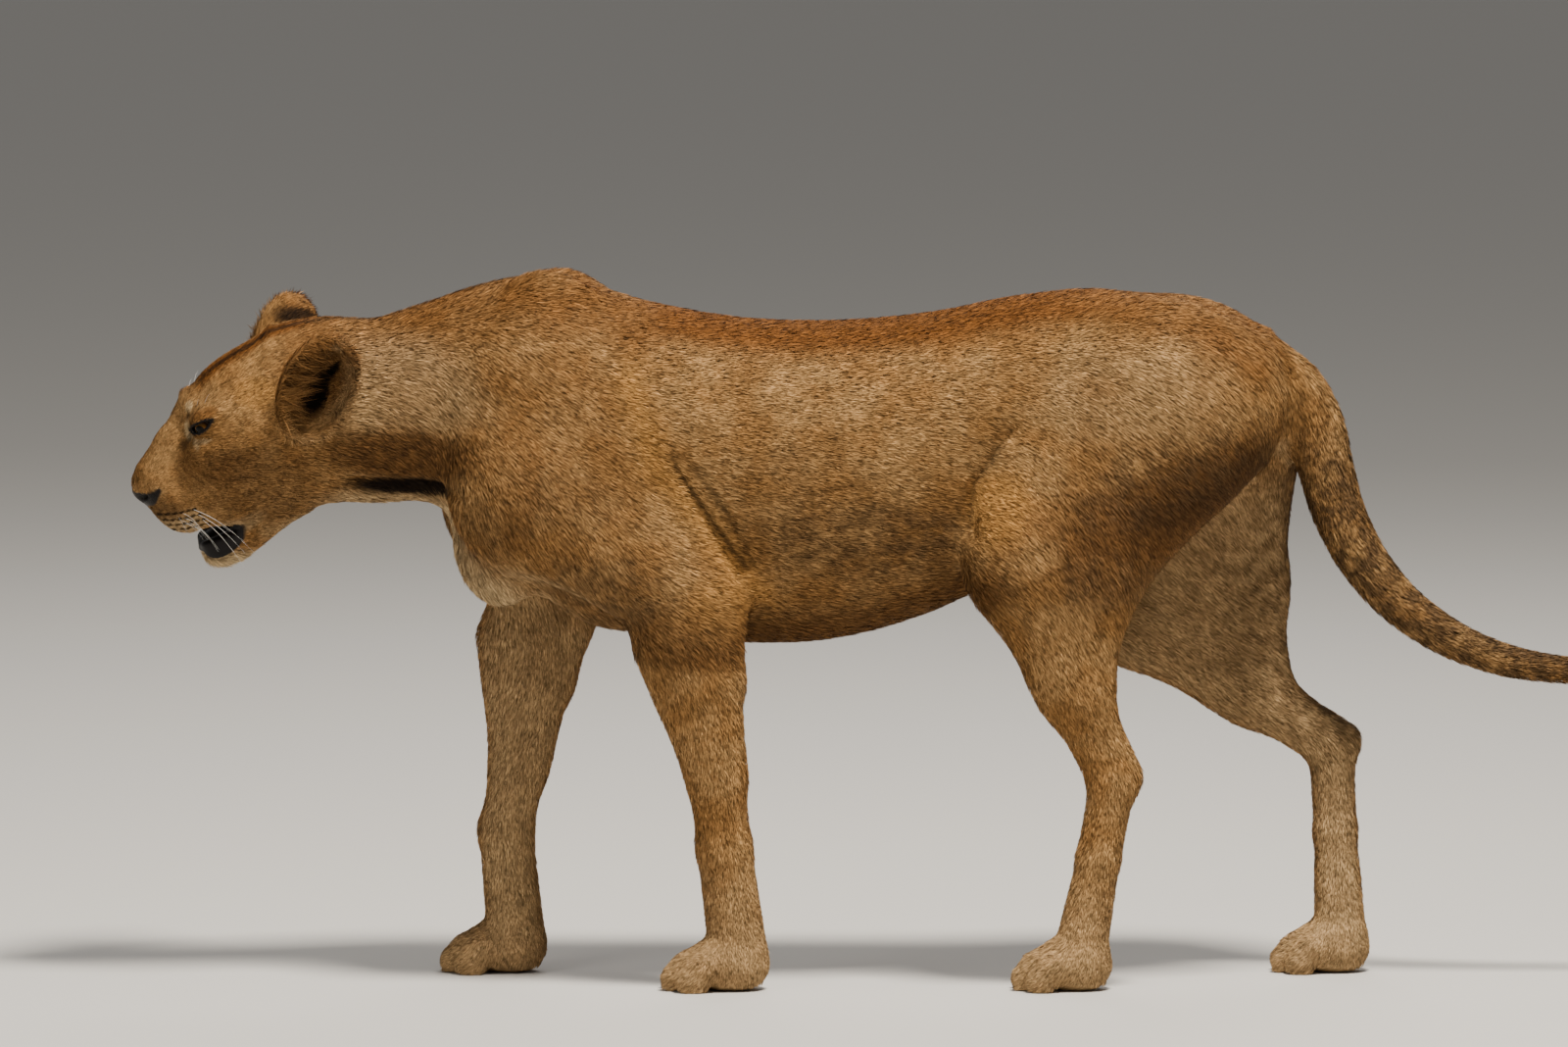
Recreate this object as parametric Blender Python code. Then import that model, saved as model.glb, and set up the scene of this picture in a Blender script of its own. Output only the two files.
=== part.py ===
"""A lioness walking with her head low and her mouth a little open, life-size.

Run with: blender --background --python part.py
Metres, +Z up. The nose points to -X, her left side to -Y. The floor is z = 0, and the
origin lies on it under the middle of the whole length, from the nose to the tail's tuft.

The animal is built up as a sculptor would: simple forms (ovals and tapered limbs) are added
one by one, each melting into what is there over its own width, and a few are carved away.
The surface of that whole is meshed, thinned, and parted into named pieces by thin cuts.
"""

import math
from functools import reduce

import bmesh
import bpy
import numpy as np
from mathutils import Matrix, Vector

# ---------------------------------------------------------------- driving sizes, in metres
FACES_WANTED = 4900          # triangles of the whole body before it is parted
FACE_END, FACE_WEIGHT = -0.84, 0.96   # ahead of this x the thinning is held back by this weight
CUT = 0.0003                 # width of the cuts between the pieces
FAR = 1.0                    # value of empty space in the volume that holds the sculpture
REACH = 0.05                 # how far round a form the volume is worked out

# Trunk and neck, as a builder's stations along X:
# (x, height of the top line, height of the underline, half width, where the widest point is: 0 middle, + up)
TRUNK = [
    (-0.900, 0.862, 0.690, 0.062, 0.10),
    (-0.835, 0.875, 0.645, 0.080, 0.05),
    (-0.770, 0.884, 0.645, 0.086, 0.00),
    (-0.700, 0.905, 0.650, 0.094, 0.00),
    (-0.640, 0.926, 0.615, 0.106, 0.00),
    (-0.580, 0.940, 0.548, 0.120, 0.05),
    (-0.500, 0.934, 0.484, 0.134, 0.10),
    (-0.400, 0.906, 0.462, 0.148, 0.10),
    (-0.290, 0.886, 0.452, 0.158, 0.05),
    (-0.160, 0.881, 0.457, 0.160, 0.00),
    (-0.030, 0.892, 0.492, 0.148, 0.05),
    (0.090, 0.915, 0.550, 0.126, 0.15),
    (0.200, 0.923, 0.600, 0.114, 0.25),
    (0.300, 0.900, 0.630, 0.104, 0.25),
    (0.400, 0.855, 0.680, 0.082, 0.20),
]

# Joints of each leg: (x, distance from the middle plane, z)
LEFT, RIGHT = -1, 1
FORELEGS = {
    LEFT: dict(blade=(-0.538, 0.062, 0.902), shoulder=(-0.578, 0.102, 0.655),
               elbow=(-0.338, 0.128, 0.512), wrist=(-0.303, 0.104, 0.190), foot=(-0.308, 0.100)),
    RIGHT: dict(blade=(-0.520, 0.062, 0.895), shoulder=(-0.590, 0.102, 0.640),
                elbow=(-0.535, 0.122, 0.490), wrist=(-0.596, 0.104, 0.190), foot=(-0.606, 0.100)),
}
HINDLEGS = {
    LEFT: dict(hip=(0.285, 0.085, 0.768), seat=(0.355, 0.064, 0.783), knee=(0.080, 0.130, 0.568),
               ham=(0.180, 0.118, 0.535), hock=(0.210, 0.106, 0.275), foot=(0.150, 0.100)),
    RIGHT: dict(hip=(0.310, 0.085, 0.765), seat=(0.400, 0.064, 0.750), knee=(0.245, 0.128, 0.482),
                ham=(0.392, 0.112, 0.520), hock=(0.508, 0.104, 0.300), foot=(0.500, 0.100)),
}

# The tail's middle line, base to tip, and its radii
TAIL = [
    (0.390, 0.815, 0.047), (0.445, 0.793, 0.043), (0.478, 0.745, 0.040), (0.494, 0.685, 0.038),
    (0.512, 0.625, 0.036), (0.542, 0.565, 0.034), (0.585, 0.512, 0.031), (0.635, 0.472, 0.028),
    (0.690, 0.443, 0.025), (0.750, 0.424, 0.022), (0.820, 0.415, 0.019), (0.890, 0.418, 0.017),
    (0.950, 0.430, 0.016),
]
TUFT = [(0.940, 0.428, 0.018), (0.990, 0.445, 0.030), (1.040, 0.470, 0.026), (1.086, 0.500, 0.010)]

# Where the thin cuts part the upper legs from the trunk: circles (x, z, radius) wrapped by a line
LEG_TOP = 0.440
SHOULDERS = {
    LEFT: [(-0.545, 0.885, 0.070), (-0.590, 0.650, 0.105), (-0.345, 0.520, 0.095), (-0.345, 0.440, 0.095)],
    RIGHT: [(-0.525, 0.880, 0.070), (-0.590, 0.650, 0.105), (-0.525, 0.500, 0.105), (-0.530, 0.440, 0.100)],
}
THIGHS = {
    LEFT: [(0.300, 0.785, 0.105), (0.360, 0.740, 0.115), (0.085, 0.575, 0.100), (0.155, 0.440, 0.095)],
    RIGHT: [(0.300, 0.785, 0.105), (0.360, 0.740, 0.115), (0.220, 0.510, 0.105), (0.380, 0.440, 0.110)],
}
TAIL_CUTS = {
    "tail_tuft": [(0.955, 0.300), (1.200, 0.300), (1.200, 0.600), (0.950, 0.600)],
    "tail_end": [(0.732, 0.300), (1.200, 0.300), (1.200, 0.600), (0.742, 0.600)],
    "tail_middle": [(0.570, 0.400), (1.200, 0.300), (1.200, 0.620), (0.640, 0.620)],
    "tail_root": [(0.455, 0.692), (0.486, 0.450), (0.700, 0.450), (0.700, 0.740)],
}

# Material, base colour and roughness by the start of a piece's name; the last one fits every name
LOOKS = {
    "eye": ("amber_eye", (0.42, 0.22, 0.05), 0.10),
    "nose": ("nose_skin", (0.03, 0.02, 0.02), 0.45),
    "tail_tuft": ("dark_tuft", (0.05, 0.03, 0.02), 0.85),
    "ear": ("ear_coat", (0.40, 0.26, 0.13), 0.85),
    "": ("tawny_coat", (0.55, 0.34, 0.17), 0.80),
}

# The head is described in its own frame: forward, left, up, from the point between the eyes
HEAD_AT = (-1.003, -0.016, 0.757)
HEAD_PITCH, HEAD_ROLL, HEAD_YAW = math.radians(24), math.radians(15), math.radians(6)
EARS = {
    LEFT: ((-0.150, 0.118, -0.008), (-0.66, 0.16, 0.72), (0.42, 0.88, -0.20)),
    RIGHT: ((-0.144, -0.112, -0.010), (-0.55, -0.24, 0.76), (0.42, -0.88, -0.20)),
}
EYE = (-0.009, 0.046, -0.004)
EYE_RADIUS = 0.0185


# ---------------------------------------------------------------- forms
class Form:
    """One form of the sculpture: `distance` is below zero inside it and roughly in metres near its skin."""

    def __init__(self, low, high, distance, blend, carve=False):
        self.low, self.high = np.array(low, float), np.array(high, float)
        self.distance, self.blend, self.carve = distance, blend, carve


def oval(centre, radii, blend, tilt=0.0, carve=False):
    """An ellipsoid. `tilt` turns it about the Y axis, nose end down."""
    cx, cy, cz = centre
    rx, ry, rz = radii
    c, s = math.cos(tilt), math.sin(tilt)

    def distance(x, y, z):
        u = (x - cx) * c + (z - cz) * s
        w = -(x - cx) * s + (z - cz) * c
        v = y - cy
        near = np.sqrt((u / rx) ** 2 + (v / ry) ** 2 + (w / rz) ** 2) + 1e-9
        steep = np.sqrt((u / rx**2) ** 2 + (v / ry**2) ** 2 + (w / rz**2) ** 2) + 1e-9
        return near * (near - 1) / steep

    reach = np.array([max(rx, rz), ry, max(rx, rz)])
    return Form(np.array(centre) - reach, np.array(centre) + reach, distance, blend, carve)


def limb(start, start_radius, end, end_radius, blend, flat=1.0, carve=False):
    """A tapered limb with round ends. `flat` below 1 makes it thinner sideways, along Y."""
    a, b = np.array(start, float), np.array(end, float)
    along = b - a
    along[1] /= flat
    length2 = float(along @ along)

    def distance(x, y, z):
        px, py, pz = x - a[0], (y - a[1]) / flat, z - a[2]
        t = np.clip((px * along[0] + py * along[1] + pz * along[2]) / length2, 0, 1)
        gap = np.sqrt((px - t * along[0]) ** 2 + (py - t * along[1]) ** 2 + (pz - t * along[2]) ** 2)
        scale = flat ** 0.5
        return (gap - (start_radius + t * (end_radius - start_radius))) * scale

    most = max(start_radius, end_radius)
    return Form(np.minimum(a, b) - most, np.maximum(a, b) + most, distance, blend, carve)


def smooth_line(knots, x):
    """Values at x of the smooth curve through knots, each (x, value, ...), one array per value."""
    table = np.array(knots, float)
    xs = table[:, 0]
    slope = np.gradient(table[:, 1:], xs, axis=0)
    x = np.clip(x, xs[0], xs[-1])
    i = np.clip(np.searchsorted(xs, x) - 1, 0, len(xs) - 2)
    step = xs[i + 1] - xs[i]
    t = (x - xs[i]) / step
    found = []
    for column in range(table.shape[1] - 1):
        p0, p1 = table[i, column + 1], table[i + 1, column + 1]
        m0, m1 = slope[i, column] * step, slope[i + 1, column] * step
        found.append(p0 * (2 * t**3 - 3 * t**2 + 1) + m0 * (t**3 - 2 * t**2 + t)
                     + p1 * (3 * t**2 - 2 * t**3) + m1 * (t**3 - t**2))
    return found


def trunk_form(blend):
    """The trunk and neck: an egg-shaped section at each x, from the stations."""
    first, last = TRUNK[0], TRUNK[-1]
    end_round = 0.03

    def distance(x, y, z):
        top, under, half, rise = smooth_line(TRUNK, x)
        middle, tall = (top + under) / 2, (top - under) / 2
        v = (z - middle) / tall
        wide = half * (1 + rise * v)
        wide = np.maximum(wide, 0.2 * half)
        u = y / wide
        near = np.sqrt(u**2 + v**2) + 1e-9
        steep = np.sqrt((u / wide) ** 2 + (v / tall) ** 2) + 1e-9
        side = near * (near - 1) / steep
        past = np.maximum(np.maximum(first[0] - x, x - last[0]), -end_round)
        return np.maximum(side, past)

    widest = max(s[3] for s in TRUNK) * 1.3
    low = (first[0], -widest, min(s[2] for s in TRUNK))
    high = (last[0], widest, max(s[1] for s in TRUNK))
    return Form(low, high, distance, blend)


def chain(points, blend, y=0.0, carve=False):
    """A round tapered form through points (x, z, radius), smoothed between them."""
    fine = np.linspace(0, len(points) - 1, (len(points) - 1) * 5 + 1)
    line = np.stack(smooth_line([(n, *point) for n, point in enumerate(points)], fine), axis=1)
    pieces = [limb((a[0], y, a[1]), a[2], (b[0], y, b[1]), b[2], blend) for a, b in zip(line, line[1:])]

    def distance(px, py, pz):
        return reduce(np.minimum, (piece.distance(px, py, pz) for piece in pieces))

    low = np.min([piece.low for piece in pieces], axis=0)
    high = np.max([piece.high for piece in pieces], axis=0)
    return Form(low, high, distance, blend, carve)


# ---------------------------------------------------------------- the head's own frame
def head_axes():
    """World directions of the head's forward, left and up."""
    forward = Vector((-math.cos(HEAD_PITCH), 0, -math.sin(HEAD_PITCH)))
    left = Vector((0, -1, 0))
    up = Vector((-math.sin(HEAD_PITCH), 0, math.cos(HEAD_PITCH)))
    roll = Matrix.Rotation(-HEAD_ROLL, 3, forward)
    yaw = Matrix.Rotation(HEAD_YAW, 3, Vector((0, 0, 1)))
    return [np.array(yaw @ (roll @ axis)) for axis in (forward, left, up)]


HEAD_AXES = head_axes()


def head_point(local):
    """World place of a point given as (forward, left, up) in the head's frame."""
    return np.array(HEAD_AT) + sum(axis * value for axis, value in zip(HEAD_AXES, local))


def in_head(form, mirror=True):
    """A form described in the head's frame, placed in the world. The mirror makes it on both sides."""
    sides = (form.low[1], form.high[1], -form.low[1], -form.high[1])
    corners = [head_point((f, l, u)) for f in (form.low[0], form.high[0]) for l in sides
               for u in (form.low[2], form.high[2])]

    def distance(x, y, z):
        dx, dy, dz = x - HEAD_AT[0], y - HEAD_AT[1], z - HEAD_AT[2]
        f, l, u = (dx * a[0] + dy * a[1] + dz * a[2] for a in HEAD_AXES)
        return form.distance(f, np.abs(l) if mirror else l, u)

    return Form(np.min(corners, axis=0), np.max(corners, axis=0), distance, form.blend, form.carve)


# ---------------------------------------------------------------- the animal's parts
def foreleg_forms(side):
    at, foot, pastern = leg_points(FORELEGS[side], side, 0.022)
    blade, shoulder, elbow, wrist = at["blade"], at["shoulder"], at["elbow"], at["wrist"]
    bulk = between(elbow, wrist, 0.16, (-0.026, 0, 0))
    return [
        limb(blade, 0.048, between(blade, shoulder, 0.75), 0.075, 0.050, flat=0.55),
        limb(between(blade, shoulder, 0.45), 0.085, elbow, 0.052, 0.045, flat=0.60),
        oval(shoulder, (0.085, 0.062, 0.098), 0.045, tilt=0.2),
        limb(between(shoulder, elbow, 0.10), 0.078, between(shoulder, elbow, 0.85), 0.064, 0.040, flat=0.75),
        limb(elbow, 0.052, between(elbow, wrist, 0.30), 0.052, 0.030, flat=0.80),
        limb(bulk, 0.066, between(elbow, wrist, 0.70), 0.039, 0.030, flat=0.75),
        limb(between(elbow, wrist, 0.50), 0.040, wrist, 0.036, 0.018, flat=0.95),
        limb(wrist, 0.0365, pastern, 0.039, 0.014, flat=0.95),
    ] + paw_forms(*foot, 1.0)


def hindleg_forms(side):
    at, foot, pastern = leg_points(HINDLEGS[side], side, 0.020)
    hip, seat, knee, ham, hock = (at[name] for name in ("hip", "seat", "knee", "ham", "hock"))
    return [
        oval((hip[0] - 0.012, side * 0.075, hip[2] + 0.010), (0.135, 0.085, 0.130), 0.060),
        limb(between(hip, knee, 0.10), 0.118, between(hip, knee, 0.85), 0.080, 0.050, flat=0.62),
        limb(seat, 0.060, ham, 0.050, 0.055, flat=0.75),
        limb(between(seat, hip, 0.5), 0.080, between(knee, ham, 0.6), 0.064, 0.050, flat=0.65),
        oval(knee, (0.062, 0.048, 0.066), 0.040),
        limb(between(knee, ham, 0.12, (0, 0, -0.02)), 0.062, between(knee, hock, 0.55), 0.046, 0.035,
             flat=0.80),
        limb(ham, 0.048, between(knee, hock, 0.62, (0.012, 0, 0.005)), 0.034, 0.040, flat=0.80),
        limb(between(knee, hock, 0.50), 0.042, hock, 0.030, 0.024, flat=0.85),
        limb(between(knee, hock, 0.60, (0.012, 0, 0)), 0.026, between(hock, hock, 0, (0.018, 0, 0.014)), 0.021,
             0.020),
        limb(hock, 0.032, between(hock, pastern, 0.45), 0.029, 0.016),
        limb(between(hock, pastern, 0.45), 0.029, pastern, 0.035, 0.012),
    ] + paw_forms(*foot, 0.93)


def leg_points(joints, side, heel):
    """A leg's joints placed on their side, its foot (x, y), and the point where the foot begins."""
    at = {name: (p[0], side * p[1], p[2]) for name, p in joints.items() if len(p) == 3}
    foot = (joints["foot"][0], side * joints["foot"][1])
    return at, foot, (foot[0] + heel, foot[1], 0.060)


def between(p, q, share, shift=(0, 0, 0)):
    return tuple(a + (b - a) * share + c for a, b, c in zip(p, q, shift))


def paw_forms(x, y, size):
    """A paw: its body and four toes. They reach just under the floor, and are cut flat by it."""
    forms = [
        oval((x + 0.016 * size, y, 0.030), (0.048 * size, 0.043 * size, 0.034), 0.022),
        oval((x - 0.016 * size, y, 0.036), (0.042 * size, 0.042 * size, 0.028), 0.018, tilt=0.25),
    ]
    for across, ahead in ((-0.038, -0.036), (-0.0135, -0.056), (0.0135, -0.056), (0.038, -0.036)):
        cx, cy = x + ahead * size, y + across * size
        knuckle = (0.024 * size, 0.015 * size, 0.019)
        forms.append(oval((cx + 0.012 * size, cy, 0.032), knuckle, 0.008, tilt=0.35))
        forms.append(oval((cx, cy, 0.016), (0.023 * size, 0.016 * size, 0.020), 0.006))
    return forms


def head_forms():
    """The skull, face and jaw, in the head's frame: forward, left, up."""
    bridge = limb((-0.010, 0, -0.012), 0.030, (0.091, 0, -0.063), 0.020, 0.014)
    ridge = oval((0.048, 0, -0.042), (0.045, 0.021, 0.026), 0.014, tilt=-0.5)
    slope = [(0, 0, 0.0090), (0.046, 0, -0.0195), (0.090, 0, -0.0480)]
    face = [
        oval((-0.098, 0, -0.006), (0.095, 0.072, 0.064), 0.035),
        oval((-0.165, 0, -0.020), (0.080, 0.078, 0.066), 0.040),
        oval((-0.045, 0, -0.012), (0.064, 0.054, 0.050), 0.030),
        oval((-0.055, 0.060, -0.045), (0.070, 0.036, 0.048), 0.035),
        oval((-0.080, 0.048, -0.100), (0.066, 0.038, 0.062), 0.035),
        oval((-0.100, 0, -0.118), (0.085, 0.056, 0.058), 0.040),
        widened(bridge, 1.25),
        widened(ridge, 1.20),
        widened(limb(slope[0], 0.0225, slope[1], 0.0145, 0.016), 1.15),
        widened(limb(slope[1], 0.0145, slope[2], 0.0150, 0.016), 1.15),
        limb((0.000, 0.014, -0.070), 0.046, (0.066, 0.010, -0.082), 0.038, 0.030),
        oval((0.070, 0.031, -0.091), (0.033, 0.028, 0.038), 0.014),
        limb((0.058, 0.035, -0.108), 0.026, (0.004, 0.046, -0.118), 0.028, 0.022),
        oval((-0.012, 0.048, -0.090), (0.046, 0.030, 0.042), 0.030),
        oval((0.103, 0, -0.064), (0.0155, 0.028, 0.016), 0.008),
        limb((0.003, 0.025, 0.002), 0.010, (-0.026, 0.049, 0.005), 0.0115, 0.020),
        oval((0.002, 0.050, -0.043), (0.036, 0.024, 0.028), 0.022),
        limb((-0.060, 0.018, -0.145), 0.040, (0.022, 0.012, -0.180), 0.030, 0.024),
        oval((0.044, 0, -0.184), (0.026, 0.031, 0.028), 0.014),
        limb((0.052, 0.016, -0.166), 0.011, (0.002, 0.042, -0.164), 0.013, 0.010),
    ]
    return [in_head(form) for form in face]


def mouth_forms():
    """The open mouth, carved back to the lips' corner."""
    gap = limb((0.130, 0, -0.148), 0.016, (0.018, 0, -0.152), 0.007, 0.006, carve=True)
    return [in_head(widened(gap, 8)),
            in_head(oval((0.036, 0, -0.146), (0.045, 0.026, 0.022), 0.008, carve=True))]


def widened(form, times):
    """A form stretched to the left and right of the head's middle plane."""
    def distance(f, l, u):
        return form.distance(f, l / times, u)

    low, high = np.array(form.low), np.array(form.high)
    low[1], high[1] = low[1] * times, high[1] * times
    return Form(low, high, distance, form.blend, form.carve)


def ear_forms():
    """Round cupped ears, set at the sides of the skull and turned out and back."""
    forms = []
    for middle, grows, faces in EARS.values():
        forms += ear_cup(middle, Vector(grows).normalized(), Vector(faces).normalized())
    return forms


def ear_cup(middle, grows, faces):
    faces = (faces - faces.dot(grows) * grows).normalized()
    across = grows.cross(faces)

    def local(f, l, u):
        df, dl, du = f - middle[0], l - middle[1], u - middle[2]
        return [df * a[0] + dl * a[1] + du * a[2] for a in (across, grows, faces)]

    def shell(f, l, u):
        a, g, d = local(f, l, u)
        outer = egg(a, g, d + 0.002, (0.048, 0.076, 0.040))
        return np.maximum(outer, d - 0.006)

    def hollow(f, l, u):
        a, g, d = local(f, l, u)
        return egg(a, g + 0.002, d - 0.008, (0.036, 0.060, 0.040))

    reach = 0.084
    low = [c - reach for c in middle]
    high = [c + reach for c in middle]
    return [in_head(Form(low, high, shell, 0.020), mirror=False),
            in_head(Form(low, high, hollow, 0.008, True), mirror=False)]


def egg(a, b, c, radii):
    """The distance from an ellipsoid at the origin, in its own axes."""
    near = np.sqrt((a / radii[0]) ** 2 + (b / radii[1]) ** 2 + (c / radii[2]) ** 2) + 1e-9
    steep = np.sqrt((a / radii[0] ** 2) ** 2 + (b / radii[1] ** 2) ** 2 + (c / radii[2] ** 2) ** 2) + 1e-9
    return near * (near - 1) / steep


def eye_forms():
    """Lids round each eyeball, parted by an almond opening."""
    lid = oval(EYE, (EYE_RADIUS + 0.004,) * 3, 0.010)
    slit_wide, slit_tall = 0.035, 0.014
    bend = (slit_wide**2 + slit_tall**2) / (4 * slit_tall)
    gaze = Vector((0.62, 0.78, 0.02)).normalized()
    corner = Vector((-0.75, 0.62, 0.05))
    corner = (corner - corner.dot(gaze) * gaze).normalized()
    over = gaze.cross(corner)

    def slit(f, l, u):
        df, dl, du = f - EYE[0], l - EYE[1], u - EYE[2]
        ahead = df * gaze[0] + dl * gaze[1] + du * gaze[2]
        a = df * corner[0] + dl * corner[1] + du * corner[2]
        b = df * over[0] + dl * over[1] + du * over[2]
        upper = np.sqrt(a**2 + (b + bend - slit_tall / 2) ** 2) - bend
        lower = np.sqrt(a**2 + (b - bend + slit_tall / 2) ** 2) - bend
        return np.maximum(np.maximum(upper, lower), 0.010 - ahead)

    low = [c - 0.034 for c in EYE]
    high = [c + 0.034 for c in EYE]
    return [in_head(lid), in_head(Form(low, high, slit, 0.003, True))]


def sculpture():
    """Every form of the animal, in the order it is added or carved."""
    rump = oval((0.335, 0, 0.776), (0.105, 0.098, 0.098), 0.050)
    brisket = oval((-0.599, 0, 0.600), (0.066, 0.080, 0.100), 0.040)
    forms = [trunk_form(0.02), rump, brisket]
    for side in (LEFT, RIGHT):
        forms += foreleg_forms(side) + hindleg_forms(side)
    forms += [chain(TAIL, 0.040), chain(TUFT, 0.020)]
    tongue = in_head(oval((0.026, 0, -0.168), (0.038, 0.020, 0.010), 0.006))
    forms += head_forms() + ear_forms() + eye_forms() + mouth_forms() + [tongue]
    return forms


# ---------------------------------------------------------------- meshing
def grid_lines(stops):
    """Coordinates from stop to stop: each stop is (where, spacing from there on)."""
    lines = []
    for (start, spacing), (end, _) in zip(stops, stops[1:]):
        count = max(1, round((end - start) / spacing))
        lines += [start + (end - start) * n / count for n in range(count)]
    return np.array(lines + [stops[-1][0]])


def volume_of(forms, lines):
    """The sculpture as numbers on a grid, below zero inside."""
    volume = np.full([len(line) for line in lines], FAR, np.float32)
    for form in forms:
        reach = REACH + form.blend
        ends = [np.searchsorted(line, (low - reach, high + reach))
                for line, low, high in zip(lines, form.low, form.high)]
        window = tuple(slice(max(0, first - 1), last + 1) for first, last in ends)
        x, y, z = np.ix_(*(line[part] for line, part in zip(lines, window)))
        value = form.distance(x, y, z)
        block = volume[window]
        if form.carve:
            volume[window] = -smooth_least(-block, value, form.blend)
        else:
            volume[window] = smooth_least(block, value, form.blend)
    return volume


def smooth_least(a, b, blend):
    """The lesser of a and b, rounded where they cross over the given width."""
    near = np.maximum(blend - np.abs(a - b), 0) / blend
    return np.minimum(a, b) - near * near * blend * 0.25


def net_of(volume, lines):
    """(points, quads) of the surface where the volume crosses zero: one point in each crossed cell."""
    inside = volume < 0
    shape = np.array(volume.shape) - 1
    count = np.zeros(shape, np.int8)
    for corner in np.ndindex(2, 2, 2):
        count += inside[tuple(slice(c, c + n) for c, n in zip(corner, shape))]
    crossed = (count > 0) & (count < 8)
    cells = np.argwhere(crossed)
    number = np.full(shape, -1, np.int64)
    number[crossed] = np.arange(len(cells))
    total, hits = np.zeros((len(cells), 3)), np.zeros(len(cells))
    for axis in range(3):
        others = [n for n in range(3) if n != axis]
        for shift in np.ndindex(2, 2):
            start = cells.copy()
            start[:, others[0]] += shift[0]
            start[:, others[1]] += shift[1]
            end = start.copy()
            end[:, axis] += 1
            a, b = volume[tuple(start.T)], volume[tuple(end.T)]
            crosses = (a < 0) != (b < 0)
            share = a[crosses] / (a[crosses] - b[crosses])
            place = np.stack([lines[n][start[crosses, n]] for n in range(3)], axis=1)
            place[:, axis] += share * (lines[axis][end[crosses, axis]] - place[:, axis])
            total[crosses] += place
            hits[crosses] += 1
    points = total / hits[:, None]
    quads = []
    for axis in range(3):
        second, third = (axis + 1) % 3, (axis + 2) % 3
        low, high = [slice(1, -1)] * 3, [slice(1, -1)] * 3
        low[axis], high[axis] = slice(0, -1), slice(1, None)
        changes = inside[tuple(low)] != inside[tuple(high)]
        at = np.argwhere(changes)
        at[:, second] += 1
        at[:, third] += 1
        ring = []
        for back_second, back_third in ((1, 1), (0, 1), (0, 0), (1, 0)):
            cell = at.copy()
            cell[:, second] -= back_second
            cell[:, third] -= back_third
            ring.append(number[tuple(cell.T)])
        ring = np.stack(ring, axis=1)
        leaving = inside[tuple(at.T)]
        ring[~leaving] = ring[~leaving][:, ::-1]
        quads.append(ring)
    return points, np.concatenate(quads)


def mesh_object(name, points, faces):
    mesh = bpy.data.meshes.new(name)
    mesh.from_pydata(points.tolist(), [], faces.tolist())
    mesh.validate()
    obj = bpy.data.objects.new(name, mesh)
    bpy.context.scene.collection.objects.link(obj)
    return obj


def clear_scene():
    for obj in list(bpy.data.objects):
        bpy.data.objects.remove(obj)


def whole_body():
    lines = [
        grid_lines([(-1.14, 0.0042), (-0.80, 0.0095), (1.14, 0)]),
        grid_lines([(-0.24, 0.0054), (0.24, 0)]),
        grid_lines([(-0.02, 0.005), (0.10, 0.0095), (0.50, 0.0049), (0.96, 0)]),
    ]
    volume = volume_of(sculpture(), lines)
    points, quads = net_of(volume, lines)
    body = mesh_object("body", points, quads)
    group = body.vertex_groups.new(name="plain")
    face = points[:, 0] < FACE_END
    group.add(np.flatnonzero(face).tolist(), FACE_WEIGHT, "REPLACE")
    group.add(np.flatnonzero(~face).tolist(), 1.0, "REPLACE")
    thin = body.modifiers.new("thin", "DECIMATE")
    thin.ratio = FACES_WANTED / (2 * len(quads))
    thin.vertex_group = group.name
    finish_modifiers(body)
    floor = prism(box_outline(-1.0, 1.0, -0.1, 0.0), -0.3, 0.3, in_world)
    boolean(body, floor, "DIFFERENCE")
    bpy.data.objects.remove(floor)
    return body


# ---------------------------------------------------------------- parting
def finish_modifiers(obj):
    """Bakes an object's modifiers into its mesh."""
    mesh = bpy.data.meshes.new_from_object(obj.evaluated_get(bpy.context.evaluated_depsgraph_get()))
    obj.modifiers.clear()
    obj.data = mesh


def hull_of(circles, steps=12):
    """The outline round a set of circles (a, b, radius) in a plane, as a convex ring of points."""
    turns = [2 * math.pi * n / steps for n in range(steps)]
    points = sorted((a + r * math.cos(t), b + r * math.sin(t)) for a, b, r in circles for t in turns)

    def half(run):
        kept = []
        for p in run:
            while len(kept) > 1 and ((kept[-1][0] - kept[-2][0]) * (p[1] - kept[-2][1])
                                     <= (kept[-1][1] - kept[-2][1]) * (p[0] - kept[-2][0])):
                kept.pop()
            kept.append(p)
        return kept[:-1]

    return half(points) + half(points[::-1])


def outset(outline, by):
    """A counter-clockwise outline moved outward by a distance."""
    moved = []
    for before, here, after in zip(outline[-1:] + outline[:-1], outline, outline[1:] + outline[:1]):
        edges = [Vector(here) - Vector(before), Vector(after) - Vector(here)]
        out = [Vector((edge.y, -edge.x)).normalized() for edge in edges]
        both = out[0] + out[1]
        moved.append(tuple(Vector(here) + both * (by / (1 + out[0].dot(out[1])))))
    return moved


def prism(outline, near, far, place):
    """A closed block on a counter-clockwise outline, from depth near to far, placed by place(a, b, depth)."""
    bm = bmesh.new()
    rings = [[bm.verts.new(place(a, b, depth)) for a, b in outline] for depth in (near, far)]
    bm.faces.new(rings[0])
    bm.faces.new(rings[1])
    for n in range(len(outline)):
        bm.faces.new((rings[0][n - 1], rings[0][n], rings[1][n], rings[1][n - 1]))
    bmesh.ops.recalc_face_normals(bm, faces=bm.faces)
    mesh = bpy.data.meshes.new("cutter")
    bm.to_mesh(mesh)
    bm.free()
    obj = bpy.data.objects.new("cutter", mesh)
    bpy.context.scene.collection.objects.link(obj)
    return obj


def in_world(a, b, depth):
    return (a, depth, b)


def in_skull(a, b, depth):
    return tuple(head_point((a, depth, b)))


def boolean(obj, cutter, kind):
    cut = obj.modifiers.new("cut", "BOOLEAN")
    cut.operation, cut.object, cut.solver = kind, cutter, "EXACT"
    finish_modifiers(obj)


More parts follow.
